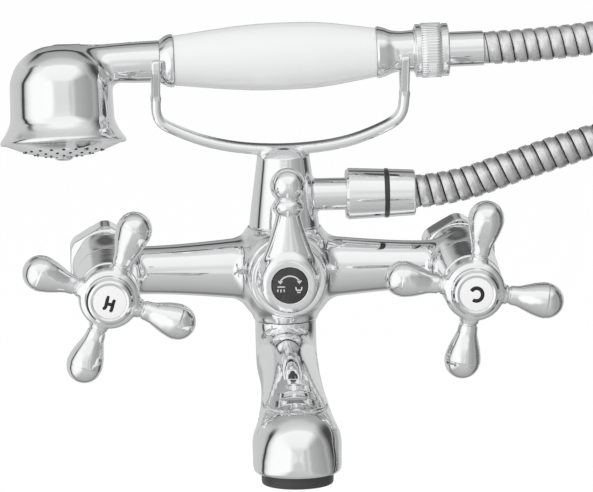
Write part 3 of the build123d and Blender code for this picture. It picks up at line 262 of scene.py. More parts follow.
def place_camera():
    """Camera at the photograph's viewing angle, with its small shift and roll."""
    back = Vector((math.sin(AZIMUTH) * math.cos(ELEVATION), -math.cos(AZIMUTH) * math.cos(ELEVATION),
                   math.sin(ELEVATION)))
    level = Vector((0, 0, 1)).cross(back).normalized()
    above = back.cross(level)
    right = level * math.cos(ROLL) - above * math.sin(ROLL)
    up = level * math.sin(ROLL) + above * math.cos(ROLL)
    data = bpy.data.cameras.new("camera")
    data.sensor_width = SENSOR
    data.lens = PIXELS_PER_MM * DISTANCE * SENSOR / PICTURE[0]
    data.shift_x = (PICTURE[0] / 2 - FOCUS_PIXEL[0]) / PICTURE[0]
    data.shift_y = (FOCUS_PIXEL[1] - PICTURE[1] / 2) / PICTURE[0]
    data.clip_end = 100.0
    camera = bpy.data.objects.new("camera", data)
    bpy.context.scene.collection.objects.link(camera)
    place = (FOCUS + back * DISTANCE) * MM
    camera.matrix_world = Matrix(((right.x, up.x, back.x, place.x), (right.y, up.y, back.y, place.y),
                                  (right.z, up.z, back.z, place.z), (0, 0, 0, 1)))
    bpy.context.scene.camera = camera


place_camera()
bpy.context.scene.view_settings.view_transform = "Standard"


# Shader nodes

def connect(tree, value, socket):
    """Link a socket, or set a plain value."""
    if isinstance(value, bpy.types.NodeSocket):
        tree.links.new(value, socket)
    else:
        socket.default_value = value


def add_node(tree, kind, inputs, **settings):
    """New shader node with its settings and its inputs, by name or number."""
    node = tree.nodes.new("ShaderNode" + kind)
    for name, value in settings.items():
        setattr(node, name, value)
    for name, value in inputs.items():
        connect(tree, value, node.inputs[name])
    return node


def math_node(tree, operation, *values, clamp=False):
    return add_node(tree, "Math", dict(enumerate(values)), operation=operation, use_clamp=clamp).outputs[0]


def dot_node(tree, vector, direction):
    return add_node(tree, "VectorMath", {0: vector, 1: direction}, operation="DOT_PRODUCT").outputs["Value"]


def mix_node(tree, data_type, factor, a, b):
    return add_node(tree, "Mix", {"Factor": factor, "A": a, "B": b}, data_type=data_type).outputs["Result"]


def ramp_node(tree, value, stops):
    """Grey ramp through (position, grey) stops."""
    node = add_node(tree, "ValToRGB", {0: value})
    ramp = node.color_ramp
    while len(ramp.elements) < len(stops):
        ramp.elements.new(0.5)
    for element, (position, grey) in zip(ramp.elements, stops):
        element.position = position
        element.color = (grey, grey, grey, 1.0)
    return node.outputs[0]


def noise_node(tree, scale, detail=2.0):
    place = add_node(tree, "TexCoord", {}).outputs["Object"]
    return add_node(tree, "TexNoise", {"Vector": place, "Scale": scale, "Detail": detail}).outputs["Fac"]


def light_path(tree):
    """Whether a ray comes from the camera, and whether it comes from a shiny or clear surface."""
    rays = add_node(tree, "LightPath", {}).outputs
    shiny = math_node(tree, "MAXIMUM", rays["Is Glossy Ray"], rays["Is Transmission Ray"])
    return rays["Is Camera Ray"], shiny


# World, floor and light

def studio_tone(tree, direction):
    """Grey of the studio in a direction: one set of tones round the object, one over and under it."""
    front, side, height = [dot_node(tree, direction, axis) for axis in (FORWARD, RIGHT, UP)]
    tones = []
    for across, stops in ((side, AROUND), (height, OVER)):
        angle = math_node(tree, "ARCTAN2", across, front)
        place = math_node(tree, "MULTIPLY_ADD", angle, 0.5 / math.pi, 0.5)
        tones.append(ramp_node(tree, place, [((degrees + 180) / 360, grey) for degrees, grey in stops]))
    side_part = math_node(tree, "MULTIPLY", side, side)
    height_part = math_node(tree, "MULTIPLY", height, height)
    both = math_node(tree, "ADD", math_node(tree, "ADD", side_part, height_part), 0.001)
    share = math_node(tree, "DIVIDE", side_part, both)
    blend = add_node(tree, "MapRange", {"Value": share, "From Min": 0.25, "From Max": 0.75},
                     interpolation_type="SMOOTHSTEP")
    return mix_node(tree, "FLOAT", blend.outputs["Result"], tones[1], tones[0])


def build_world():
    """White for the camera, plain light for diffuse surfaces and the studio for reflections."""
    world = bpy.data.worlds.new("studio")
    bpy.context.scene.world = world
    world.use_nodes = True
    tree = world.node_tree
    tree.nodes.clear()
    from_camera, from_shiny = light_path(tree)
    tone = studio_tone(tree, add_node(tree, "TexCoord", {}).outputs["Generated"])
    strength = mix_node(tree, "FLOAT", from_shiny, PLAIN_LIGHT, tone)
    strength = math_node(tree, "MAXIMUM", strength, from_camera)
    background = add_node(tree, "Background", {"Color": (1, 1, 1, 1), "Strength": strength})
    add_node(tree, "OutputWorld", {"Surface": background.outputs[0]})


def build_floor():
    """Plain white floor under the hanging loop of the hose."""
    half = FLOOR_SIZE / 2 * MM
    corners = [(x * half, y * half, FLOOR_Z * MM) for x, y in ((-1, -1), (1, -1), (1, 1), (-1, 1))]
    mesh = bpy.data.meshes.new("floor")
    mesh.from_pydata(corners, [], [(0, 1, 2, 3)])
    floor = bpy.data.objects.new("floor", mesh)
    bpy.context.scene.collection.objects.link(floor)
    material = bpy.data.materials.new("floor")
    material.use_nodes = True
    tree = material.node_tree
    tree.nodes.clear()
    from_camera, from_shiny = light_path(tree)
    tone = studio_tone(tree, add_node(tree, "TexCoord", {}).outputs["Object"])
    level = math_node(tree, "ADD", math_node(tree, "MULTIPLY", from_camera, FLOOR_GLOW),
                      math_node(tree, "MULTIPLY", from_shiny, tone))
    diffuse = add_node(tree, "BsdfDiffuse", {"Color": (FLOOR_GREY, FLOOR_GREY, FLOOR_GREY, 1)})
    glow = add_node(tree, "Emission", {"Color": (1, 1, 1, 1), "Strength": level})
    glow_share = math_node(tree, "MULTIPLY", from_camera, FLOOR_GLOW_SHARE)
    share = math_node(tree, "MAXIMUM", from_shiny, glow_share)
    mix = add_node(tree, "MixShader", {0: share, 1: diffuse.outputs[0], 2: glow.outputs[0]})
    add_node(tree, "OutputMaterial", {"Surface": mix.outputs[0]})
    mesh.materials.append(material)


def area_light(name, place, target, size, power):
    """Soft rectangular light that shows in no reflection. Places and size are in metres."""
    data = bpy.data.lights.new(name, "AREA")
    data.shape = "RECTANGLE"
    data.size, data.size_y = size
    data.energy = power
    light = bpy.data.objects.new(name, data)
    bpy.context.scene.collection.objects.link(light)
    light.location = place
    light.rotation_euler = (Vector(target) - Vector(place)).to_track_quat("-Z", "Y").to_euler()
    light.visible_glossy = False


build_world()
build_floor()
area_light("softbox_left", (-1.2, -1.6, 1.3), (0, -0.03, 0.03), (1.2, 1.2), 9.0)


# Materials

def surface_material(name, color, metallic, roughness, variation, variation_scale, bump, bump_scale,
                     rough_spread, bump_detail=3.0, coat=0.0):
    """Principled material whose colour, roughness and relief come from procedural noise."""
    material = bpy.data.materials.new(name)
    material.use_nodes = True
    tree = material.node_tree
    shader = tree.nodes["Principled BSDF"].inputs
    shader["Metallic"].default_value = metallic
    shader["IOR"].default_value = 1.5
    shader["Coat Weight"].default_value = coat
    shader["Coat Roughness"].default_value = 0.04
    levels = (1 - variation, 1 + variation)
    dark, pale = [[min(1.0, part * level) for part in color] + [1.0] for level in levels]
    tone = mix_node(tree, "RGBA", noise_node(tree, variation_scale), dark, pale)
    tree.links.new(tone, shader["Base Color"])
    grain = noise_node(tree, bump_scale, bump_detail)
    rough = math_node(tree, "MULTIPLY_ADD", grain, rough_spread, roughness - rough_spread / 2, clamp=True)
    tree.links.new(rough, shader["Roughness"])
    relief = add_node(tree, "Bump", {"Strength": 1.0, "Distance": bump, "Height": grain})
    tree.links.new(relief.outputs["Normal"], shader["Normal"])
    return material


# by finish: name, colour, metallic, roughness, colour's variation and its scale, depth of the relief in metres
# and its scale, spread of the roughness, then the relief's detail and the coat where they aren't 3 and 0
FINISHES = {
    "chrome": ("polished_chrome", (0.93, 0.935, 0.94), 1.0, 0.05, 0.015, 40.0, 0.00006, 70.0, 0.03, 2.0),
    "brass": ("machined_brass", (0.72, 0.56, 0.30), 1.0, 0.28, 0.12, 90.0, 0.00002, 900.0, 0.10),
    "steel": ("screw_steel", (0.60, 0.61, 0.63), 1.0, 0.30, 0.08, 120.0, 0.00002, 700.0, 0.12),
    "hose_steel": ("brushed_hose_steel", (0.86, 0.86, 0.87), 1.0, 0.32, 0.24, 900.0, 0.0001, 1500.0, 0.18,
                   4.0),
    # this near-black seam finish is painted shade in the groove between the strip's windings
    "seam_painted_shade": ("oiled_seam", (0.035, 0.034, 0.033), 0.0, 0.5, 0.30, 300.0, 0.00003, 900.0, 0.10),
    # this near-black finish is painted shade for the plugs in the rose's spray holes
    "rubber": ("black_rubber", (0.03, 0.03, 0.032), 0.0, 0.70, 0.25, 300.0, 0.00004, 800.0, 0.15),
    "porcelain": ("glazed_porcelain", (0.86, 0.862, 0.868), 0.0, 0.12, 0.012, 25.0, 0.00003, 60.0, 0.05,
                  1.0, 0.6),
    "ceramic": ("lapped_ceramic", (0.80, 0.79, 0.76), 0.0, 0.35, 0.05, 200.0, 0.00001, 900.0, 0.08),
    "index": ("white_enamel", (0.90, 0.90, 0.90), 0.0, 0.16, 0.012, 80.0, 0.00002, 150.0, 0.06, 3.0, 0.4),
    "black": ("gloss_black", (0.030, 0.030, 0.032), 0.0, 0.22, 0.30, 150.0, 0.00003, 250.0, 0.10, 3.0, 0.4),
    "ink": ("black_ink", (0.012, 0.012, 0.012), 0.0, 0.45, 0.30, 400.0, 0.00001, 900.0, 0.10),
    "white_ink": ("white_ink", (0.70, 0.70, 0.70), 0.0, 0.45, 0.06, 400.0, 0.00001, 900.0, 0.10),
    "charcoal": ("satin_charcoal", (0.045, 0.045, 0.048), 0.0, 0.42, 0.20, 250.0, 0.00004, 600.0, 0.12),
    "white_plastic": ("white_plastic", (0.78, 0.78, 0.77), 0.0, 0.40, 0.03, 150.0, 0.00003, 400.0, 0.10),
}
MATERIALS = {finish: surface_material(*values) for finish, values in FINISHES.items()}

for row in frame["record"]["subparts"]:
    for material_slot in frame["nodes"][row["node"]].material_slots:
        material_slot.material = MATERIALS[row["material_slot"]]


# Mesh builders

def finish_piece(name, points, faces, normals, finish, body, replaced=()):
    """Object from points in millimetres, with its normals, finish, body and the CAD nodes it stands for."""
    mesh = bpy.data.meshes.new(name)
    mesh.from_pydata([tuple(p) for p in (np.asarray(points) * MM).tolist()], [], faces)
    mesh.validate()
    mesh.shade_smooth()
    if normals is not None:
        mesh.normals_split_custom_set_from_vertices([tuple(n) for n in normals.tolist()])
    mesh.materials.append(MATERIALS[finish])
    piece = bpy.data.objects.new(name, mesh)
    bpy.context.scene.collection.objects.link(piece)
    if body:
        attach(piece, body)
    if replaced:
        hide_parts(*replaced)
    return piece


def transformed(points, matrix):
    """Points moved by a 4 x 4 matrix."""
    m = np.array(matrix)
    return points @ m[:3, :3].T + m[:3, 3]


def turned_directions(normals, matrix):
    return normals @ np.array(matrix)[:3, :3].T


def axis_matrix(at, along):
    """Frame whose Z runs along the axis and whose origin is `at`."""
    turn = Vector(along).to_track_quat("Z", "Y").to_matrix().to_4x4()
    return Matrix.Translation(at) @ turn


def rounded_profile(steps):
    """Corner list (s, r) or (s, r, rounding) turned into a fine polyline with small arcs."""
    corners = [(s[0], s[1], s[2] if len(s) > 2 else 0.0) for s in steps]
    points = []
    for i, (s, r, rounding) in enumerate(corners):
        here = np.array((s, r))
        if rounding == 0.0 or i in (0, len(corners) - 1):
            points.append(here)
            continue
        before = np.array(corners[i - 1][:2]) - here
        after = np.array(corners[i + 1][:2]) - here
        length_before, length_after = np.linalg.norm(before), np.linalg.norm(after)
        before, after = before / length_before, after / length_after
        half = math.acos(max(-1.0, min(1.0, float(before @ after)))) / 2
        if half > math.radians(88):
            points.append(here)
            continue
        reach = min(rounding / math.tan(half), 0.48 * length_before, 0.48 * length_after)
        radius = reach * math.tan(half)
        middle = here + (before + after) / np.linalg.norm(before + after) * radius / math.sin(half)
        first, last = here + before * reach - middle, here + after * reach - middle
        sweep = math.atan2(first[0] * last[1] - first[1] * last[0], float(first @ last))
        steps_in_arc = max(3, int(abs(sweep) / math.radians(12)))
        for k in range(steps_in_arc + 1):
            a = sweep * k / steps_in_arc
            points.append(middle + np.array((first[0] * math.cos(a) - first[1] * math.sin(a),
                                             first[0] * math.sin(a) + first[1] * math.cos(a))))
    return np.array(points)


def lathe(name, steps, finish, body, replaced=(), at=ORIGIN, along=UP, count=128, place=None, ripple=None):
    """Turned piece: profile of (distance along the axis, radius, rounding), closed where the radius is 0."""
    profile = rounded_profile(steps)
    closed = profile[0][1] > 1e-6 and profile[-1][1] > 1e-6
    if closed:
        profile = np.vstack([profile, profile[:1]])
    keep = [0] + [i for i in range(1, len(profile)) if np.linalg.norm(profile[i] - profile[i - 1]) > 1e-4]
    profile = profile[keep]
    runs = np.diff(profile, axis=0)
    lengths = np.linalg.norm(runs, axis=1)
    outward = np.stack([-runs[:, 1], runs[:, 0]], axis=1) / lengths[:, None]
    weight = lengths[:, None] ** 2
    normal = np.zeros_like(profile)
    normal[:-1] += outward * weight
    normal[1:] += outward * weight
    if closed:
        normal[0] = normal[-1] = normal[0] + normal[-1]
    normal /= np.linalg.norm(normal, axis=1)[:, None]
    # the profile's sense decides which side is out
    s, r = profile[:, 0], profile[:, 1]
    area = np.sum((s[:-1] - s[1:]) * (r[:-1] + r[1:]) / 2)
    sense = -1.0 if area > 0 else 1.0
    points, normals, faces = [], [], []
    angles = np.arange(count) * 2 * math.pi / count
    rings = []
    last_ring = len(profile) - 1 if closed else len(profile)
    for i in range(last_ring):
        if r[i] < 1e-6:
            rings.append([len(points)])
            points.append((0.0, 0.0, s[i]))
            normals.append((0.0, 0.0, math.copysign(1.0, sense * normal[i][0])))
            continue
        rings.append(list(range(len(points), len(points) + count)))
        for angle in angles:
            radius = r[i] + (ripple(s[i], r[i], angle) if ripple else 0.0)
            points.append((radius * math.cos(angle), radius * math.sin(angle), s[i]))
            n = sense * normal[i]
            normals.append((n[1] * math.cos(angle), n[1] * math.sin(angle), n[0]))
    if closed:
        rings.append(rings[0])
    for a, b in zip(rings, rings[1:]):
        for k in range(count):
            k2 = (k + 1) % count
            if len(a) == 1:
                face = (a[0], b[k], b[k2])
            elif len(b) == 1:
                face = (a[k], b[0], a[k2])
            else:
                face = (a[k], b[k], b[k2], a[k2])
            faces.append(face[::-1] if sense > 0 else face)
    matrix = axis_matrix(at, along)
    if place is not None:
        matrix = place @ matrix
    points = transformed(np.array(points), matrix)
    normals = turned_directions(np.array(normals), matrix)
    if ripple:
        normals = None
    return finish_piece(name, points, faces, normals, finish, body, replaced)


def smooth_curve(stations):
    """Function through (s, value) stations without overshoot."""
    xs = np.array([a for a, b in stations], float)
    ys = np.array([b for a, b in stations], float)
    steps = np.diff(xs)
    slopes = np.diff(ys) / steps
    tangents = np.zeros_like(ys)
    tangents[0], tangents[-1] = slopes[0], slopes[-1]
    for i in range(1, len(xs) - 1):
        if slopes[i - 1] * slopes[i] > 0:
            tangents[i] = 2 / (1 / slopes[i - 1] + 1 / slopes[i])

    def value(s):
        s = np.clip(s, xs[0], xs[-1])
        i = np.clip(np.searchsorted(xs, s) - 1, 0, len(xs) - 2)
        h = steps[i]
        t = (s - xs[i]) / h
        return ((2 * t ** 3 - 3 * t ** 2 + 1) * ys[i] + (t ** 3 - 2 * t ** 2 + t) * h * tangents[i]
                + (-2 * t ** 3 + 3 * t ** 2) * ys[i + 1] + (t ** 3 - t ** 2) * h * tangents[i + 1])

    return value


def curve_steps(stations, step=0.8):
    """Profile corners along a smooth curve, for `lathe`."""
    value = smooth_curve(stations)
    start, end = stations[0][0], stations[-1][0]
    count = max(2, int((end - start) / step))
    return [(s, float(value(s))) for s in np.linspace(start, end, count + 1)]


# Fields: negative inside a solid, roughly in millimetres

def join(a, b, blend):
    """Union of two fields with a fillet."""
    h = np.maximum(blend - np.abs(a - b), 0.0) / blend
    return np.minimum(a, b) - h * h * blend * 0.25


def cut(a, b, blend=0.4):
    """Field a less field b, with a rounded edge."""
    return -join(-a, b, blend)


def axis_distances(points, at, along):
    """Distance along an axis and from it."""
    x, y, z = (points[i] - at[i] for i in range(3))
    s = x * along[0] + y * along[1] + z * along[2]
    rho = np.sqrt(np.maximum(x * x + y * y + z * z - s * s, 0.0))
    return s, rho


def bar_field(points, at, along, start, end, radius, edge=0.8):
    """Solid of revolution: `radius` is a number or a function of the distance along the axis."""
    s, rho = axis_distances(points, at, along)
    r = radius(s) if callable(radius) else radius
    side = rho - r
    if callable(radius):
        lean = (radius(s + 0.1) - radius(s - 0.1)) / 0.2
        side = side / np.sqrt(1 + lean * lean)
    return -join(-side, -np.maximum(start - s, s - end), edge)


def bored(points, whole, at, along, *holes, edge=HOLE_EDGE):
    """Field with round holes along one axis, each given as its start, end and radius."""
    for start, end, radius in holes:
        whole = cut(whole, bar_field(points, at, along, start, end, radius, edge))
    return whole


def ball_field(points, at, radius):
    x, y, z = (points[i] - at[i] for i in range(3))
    return np.sqrt(x * x + y * y + z * z) - radius


def implicit(name, field, low, high, step, finish, body, replaced=(), place=None):
    """Mesh of a field's surface: one point per grid cell that it crosses, moved onto it by its slope."""
    axes = [np.arange(low[i] - step, high[i] + 2 * step, step) for i in range(3)]
    grid = np.meshgrid(*axes, indexing="ij")
    value = field(grid)
    inside = value < 0
    del grid
    shape = np.array(value.shape) - 1
    count = sum(inside[i:i + shape[0], j:j + shape[1], k:k + shape[2]].astype(np.int8)
                for i in (0, 1) for j in (0, 1) for k in (0, 1))
    active = (count > 0) & (count < 8)
    cells = np.argwhere(active)
    index = np.full(active.shape, -1, np.int64)
    index[active] = np.arange(len(cells))
    total = np.zeros((len(cells), 3))
    hits = np.zeros(len(cells))
    for axis in range(3):
        others = [i for i in range(3) if i != axis]
        for a in (0, 1):
            for b in (0, 1):
                shift = np.zeros(3, int)
                shift[others[0]], shift[others[1]] = a, b
                p = cells + shift
                q = p.copy()
                q[:, axis] += 1
                vp, vq = value[tuple(p.T)], value[tuple(q.T)]
                crossed = (vp < 0) != (vq < 0)
                t = np.where(crossed, vp / np.where(vp == vq, 1.0, vp - vq), 0.0)
                spot = p.astype(float)
                spot[:, axis] += t
                total += spot * crossed[:, None]
                hits += crossed
    origin = np.array([a[0] for a in axes])
    points = total / hits[:, None] * step + origin
    faces = []
    for axis in range(3):
        b, c = (axis + 1) % 3, (axis + 2) % 3
        first = [slice(None)] * 3
        second = [slice(None)] * 3
        first[axis], second[axis] = slice(0, -1), slice(1, None)
        edge = inside[tuple(first)] != inside[tuple(second)]
        at = np.argwhere(edge)
        keep = (at[:, b] > 0) & (at[:, c] > 0) & (at[:, b] < shape[b]) & (at[:, c] < shape[c])
        at = at[keep]
        filled = inside[tuple(at.T)]
        quad = []
        for db, dc in ((0, 0), (-1, 0), (-1, -1), (0, -1)):
            cell = at.copy()
            cell[:, b] += db
            cell[:, c] += dc
            quad.append(index[tuple(cell.T)])
        quad = np.stack(quad, axis=1)
        quad[~filled] = quad[~filled][:, ::-1]
        faces.append(quad)
    faces = np.concatenate(faces)
    slope = slopes_of(field, points)
    for _ in range(4):
        level = field(list(points.T))
        size = np.maximum(np.sum(slope ** 2, axis=1), 0.05)
        move = -(level / size)[:, None] * slope
        reach = np.linalg.norm(move, axis=1)[:, None]
        points = points + move * np.minimum(1.0, 0.5 * step / np.maximum(reach, 1e-9))
        slope = slopes_of(field, points)
    normals = slope / np.maximum(np.linalg.norm(slope, axis=1), 1e-9)[:, None]
    if place is not None:
        points = transformed(points, place)
        normals = turned_directions(normals, place)
    return finish_piece(name, points, faces.tolist(), normals, finish, body, replaced)


def slopes_of(field, points, reach=0.03):
    """Slope of a field at each point."""
    slopes = np.zeros_like(points)
    for axis in range(3):
        ahead, behind = points.copy(), points.copy()
        ahead[:, axis] += reach
        behind[:, axis] -= reach
        slopes[:, axis] = (field(list(ahead.T)) - field(list(behind.T))) / (2 * reach)
    return slopes


# Cast body: barrel, arms, bosses and front boss flowing into each other

BARREL = smooth_curve([(-22.5, 13.1), (-20.0, 14.0), (-16.5, 16.0), (-9.0, 18.3), (0.0, 18.9), (9.0, 18.1),
                       (14.5, 16.2), (18.5, 15.0)])
ARM = smooth_curve([(0.0, 15.0), (14.0, 15.0), (18.0, 13.5), (23.0, 12.5), (61.0, ARM_END_R),
                    (INLET_X, ARM_END_R)])
BOSS = smooth_curve([(17.0, BOSS_BACK_R), (20.0, BOSS_BACK_R), (56.0, BOSS_FRONT_R), (58.0, BOSS_FRONT_R)])


def body_field(p):
    """Body with its waterways, valve bores, chamber and sockets."""
    whole = bar_field(p, CENTRE, UP, -BARREL_BOTTOM, BARREL_TOP, BARREL, 0.5)
    whole = join(whole, bar_field(p, ORIGIN, FORWARD, BAR_AXIS, FRONT_BOSS_END, FRONT_BOSS_R, 1.0), 5.0)
    for x in INLETS.values():
        direction = (math.copysign(1.0, x), 0.0, 0.0)
        whole = join(whole, bar_field(p, CENTRE, direction, 0.0, INLET_X, ARM, 0.5), 5.0)
        whole = join(whole, bar_field(p, (x, 0, 0), FORWARD, BODY_BACK, BOSS_FRONT, BOSS, 0.8), 4.0)
    whole = bored(p, whole, ORIGIN, FORWARD, (CHAMBER_BACK, OPEN_FRONT, CHAMBER_R + FACE_FIT))
    whole = bored(p, whole, CENTRE, RIGHT, (-INLET_X, INLET_X, WATERWAY_R))
    whole = bored(p, whole, CENTRE, UP, (5.0, 25.0, COLUMN_BORE_R),
                  (-30.0, -BARREL_BOTTOM + 10.0, SPOUT_NECK_R))
    for x in INLETS.values():
        whole = bored(p, whole, (x, 0, 0), FORWARD, (SEAT_FRONT, OPEN_FRONT, VALVE_BORE_R + FACE_FIT),
                      (10.0, TAIL_END, TAIL_R + LOOSE_FIT))
    return whole


implicit("body_casting", body_field, (-90.0, -56.5, -22.5), (90.0, -13.0, 20.0), 0.7, "chrome", "body",
         ["mixer_body"])


# Union nuts: hexagons with softened edges and turned corners

def nut_field(p):
    """Hexagon with its thread's bore and a lip that holds the tail."""
    hexagon = p[0] - NUT_FLATS / 2
    for turn in range(1, 6):
        a = math.pi / 3 * turn
        hexagon = -join(-hexagon, -(p[0] * math.cos(a) + p[2] * math.sin(a) - NUT_FLATS / 2), 1.0)
    corner = smooth_curve([(0.0, 14.7), (1.5, 16.4), (1.9, NUT_CORNER_R), (16.1, NUT_CORNER_R), (16.5, 16.4),
                           (18.0, 14.7)])
    nut = -join(-hexagon, -bar_field(p, ORIGIN, FORWARD, 0.0, NUT_END, corner, 0.5), 0.5)
    return bored(p, nut, ORIGIN, FORWARD, (-2.0, NUT_THREAD_END, NUT_THREAD_R),
                 (-2.0, NUT_END - NUT_LIP, NUT_THREAD_R - 0.8), (0.0, 22.0, TAIL_R + LOOSE_FIT))


for side, x in INLETS.items():
    implicit(f"union_nut_{side}_cut", nut_field, (-16.0, -18.4, -17.0), (16.0, 0.4, 17.0), 0.5, "chrome",
             f"{side}_union_nut", [f"union_nut_{side}"], place=Matrix.Translation((x, 0, 0)))


# Pieces of the hose's lower end

lathe("hose_nut", [(HOSE_NUT_START, 6.86), (HOSE_NUT_START, 9.9, 0.4), (HOSE_NUT_START + 1.2, 10.85, 0.5),
                   (HOSE_NUT_END, 10.2, 0.3), (HOSE_NUT_END, 6.86)],
      "chrome", "outlet_nut", ["outlet_nut"], OUTLET_AT, RIGHT)
lathe("hose_black_ring", [(42.25, 6.9), (42.25, 10.45, 0.5), (HOSE_RING_END, 10.45, 0.5), (HOSE_RING_END, 6.9)],
      "black", "body", ["outlet_ring"], OUTLET_AT, RIGHT)
collar = lathe("hose_collar", [(39.8, 4.5), (39.8, 6.8), (HOSE_RING_END, 6.8), (HOSE_RING_END, 10.15, 0.2),
                               (HOSE_COLLAR_END, 9.6, 0.9), (HOSE_COLLAR_END, 7.05), (44.5, 7.05), (44.5, 4.5)],
               "chrome", "body", ["outlet_collar"], OUTLET_AT, RIGHT)


# Valve shrouds, handles and index discs

LIMB = smooth_curve([(0.0, 3.8), (12.9, 4.0), (13.6, 4.0), (14.0, 3.45), (14.5, 3.45), (15.0, 3.85),
                     (18.0, 4.25), (21.5, 5.45), (25.0, 6.65), (28.0, 7.25), (30.0, 7.35), (40.0, 7.35)])


def handle_field(p):
    """Hub and nose with four waisted arms that end in balls."""
    hub = bar_field(p, ORIGIN, FORWARD, HUB_BACK, HUB_FRONT, HUB_R, 3.4)
    hub = join(hub, bar_field(p, ORIGIN, FORWARD, HUB_BACK + 4, NOSE_END, NOSE_R, 0.4), 0.8)
    for arm in range(4):
        angle = math.pi / 2 * arm
        out = (math.sin(angle), 0.0, math.cos(angle))
        root = (0.0, -ARM_PLANE, 0.0)
        limb = bar_field(p, root, out, 0.0, HANDLE_BALL_AT, LIMB, 0.3)
        tip = (out[0] * HANDLE_BALL_AT, -ARM_PLANE, out[2] * HANDLE_BALL_AT)
        limb = join(limb, ball_field(p, tip, HANDLE_BALL_R), 0.6)
        hub = join(hub, limb, 1.2)
    return bored(p, hub, ORIGIN, FORWARD, (80.0, SPINDLE_BORE_END, SPINDLE_BORE_R),
                 (SCREW_SEAT, 110.0, SCREW_BORE_R), edge=0.2)


for side, x in INLETS.items():
    turn = Matrix.Translation((x, 0, 0)) @ Matrix.Rotation(math.radians(-HANDLE_TURNS[side]), 4, "Y")
    implicit(f"cross_handle_{side}_cast", handle_field, (-38.0, -105.0, -38.0), (38.0, -86.5, 38.0), 0.5,
             "chrome", f"{side}_handle", [f"cross_handle_{side}"], place=turn)
    lathe(f"shroud_{side}", [(BOSS_FRONT, SHROUD_INNER_R), (BOSS_FRONT, BOSS_FRONT_R - 0.1, 0.3),
                             (SHROUD_END, SHROUD_FRONT_R, 0.9), (SHROUD_END, SHROUD_BORE_R),
                             (SHROUD_END - SHROUD_WALL, SHROUD_BORE_R),
                             (SHROUD_END - SHROUD_WALL, SHROUD_INNER_R)],
          "chrome", "body", [f"valve_shroud_{side}"], (x, 0, 0), FORWARD)
    lathe(f"bezel_{side}", [(NOSE_END, 6.3), (NOSE_END, INDEX_RING_R - 0.5, 0.3),
                            (NOSE_END + 0.7, INDEX_RING_R, 0.3), (INDEX_FRONT - 1.6, INDEX_RING_R, 0.5),
                            (INDEX_FRONT - 0.5, INDEX_RING_R - 0.9, 0.3), (INDEX_FRONT, 7.9, 0.3),
                            (INDEX_DISC_EDGE, INDEX_DISC_R + 0.04, 0.1), (INDEX_SEAT, INDEX_DISC_R + 0.04),
                            (INDEX_SEAT, 6.3)],
          "chrome", f"{side}_handle", [f"index_ring_{side}"], (x, 0, 0), FORWARD)
    lathe(f"disc_{side}", [(INDEX_SEAT, 0.0), (INDEX_SEAT, INDEX_DISC_R), (INDEX_DISC_EDGE, INDEX_DISC_R, 0.25)]
          + [(INDEX_DISC_EDGE + INDEX_CROWN * (1 - (r / INDEX_DISC_R) ** 2), r)
             for r in (6.6, 5.5, 4.4, 3.3, 2.2, 1.1, 0.0)],
          "index", f"{side}_handle", [f"index_disc_{side}"], (x, 0, 0), FORWARD)


def ribbon(name, lines, width, height, face_of, finish, body):
    """Flat printed strokes: each line is a list of (u, v) points, raised a little above a surface."""
    points, faces = [], []
    for line in lines:
        line = np.array(line, float)
        runs = np.gradient(line, axis=0)
        runs /= np.linalg.norm(runs, axis=1)[:, None]
        sideways = np.stack([-runs[:, 1], runs[:, 0]], axis=1)
        widths = np.full(len(line), width)
        widths[0] *= 0.75
        widths[-1] *= 0.75
        base = len(points)
        for k in range(len(line)):
            for across in (-0.5, 0.5):
                u, v = line[k] + sideways[k] * across * widths[k]
                points.append(face_of(u, v, height))
                points.append(face_of(u, v, -0.05))
        for k in range(len(line) - 1):
            a = base + 4 * k
            faces += [(a, a + 4, a + 6, a + 2), (a + 1, a + 3, a + 7, a + 5), (a, a + 1, a + 5, a + 4),
                      (a + 2, a + 6, a + 7, a + 3)]
        end = base + 4 * (len(line) - 1)
        faces += [(base, base + 2, base + 3, base + 1), (end, end + 1, end + 3, end + 2)]
    return finish_piece(name, np.array(points), faces, None, finish, body)


def arc(cx, cy, radius, start, end, count=24, squeeze=1.0):
    angles = np.radians(np.linspace(start, end, count))
    return [(cx + radius * math.cos(a) * squeeze, cy + radius * math.sin(a)) for a in angles]


def on_disc(x):
    """Point on an index disc's crowned face: u to the right, v up."""
    def face_of(u, v, lift):
        crown = INDEX_CROWN * (1 - (u * u + v * v) / INDEX_DISC_R ** 2)
        return (x + u, -(INDEX_DISC_EDGE + crown + lift), v)
    return face_of


# plain marks for hot and cold
hot_mark = [[(-0.45, 2.7), (-0.85, 1.4), (-1.25, 0.0), (-1.6, -1.5), (-2.1, -2.3), (-2.9, -2.65)],
            [(2.1, 1.1), (1.65, 0.3), (1.3, -0.8), (0.9, -2.3), (0.55, -3.3), (0.0, -3.9)],
            [(-1.35, -0.35), (0.0, -0.8), (1.35, -1.1)]]
ribbon("mark_hot", hot_mark, 1.4, MARK_LIFT, on_disc(-INLET_X), "ink", "hot_handle")
cold_mark = [arc(0.0, 0.0, 2.65, -128, 148, 40, squeeze=0.93)]
ribbon("mark_cold", cold_mark, 1.55, MARK_LIFT, on_disc(INLET_X), "ink", "cold_handle")


# Diverter: housing, pear-shaped lever and badge

lathe("diverter_cover", [(43.6, 4.06), (43.6, 10.9), (FRONT_BOSS_END, 10.9), (FRONT_BOSS_END, HOUSING_R, 0.4),
                         (HOUSING_FRONT, HOUSING_R, 1.2), (HOUSING_FRONT, 4.06)],
      "chrome", "body", ["diverter_housing"], ORIGIN, FORWARD)

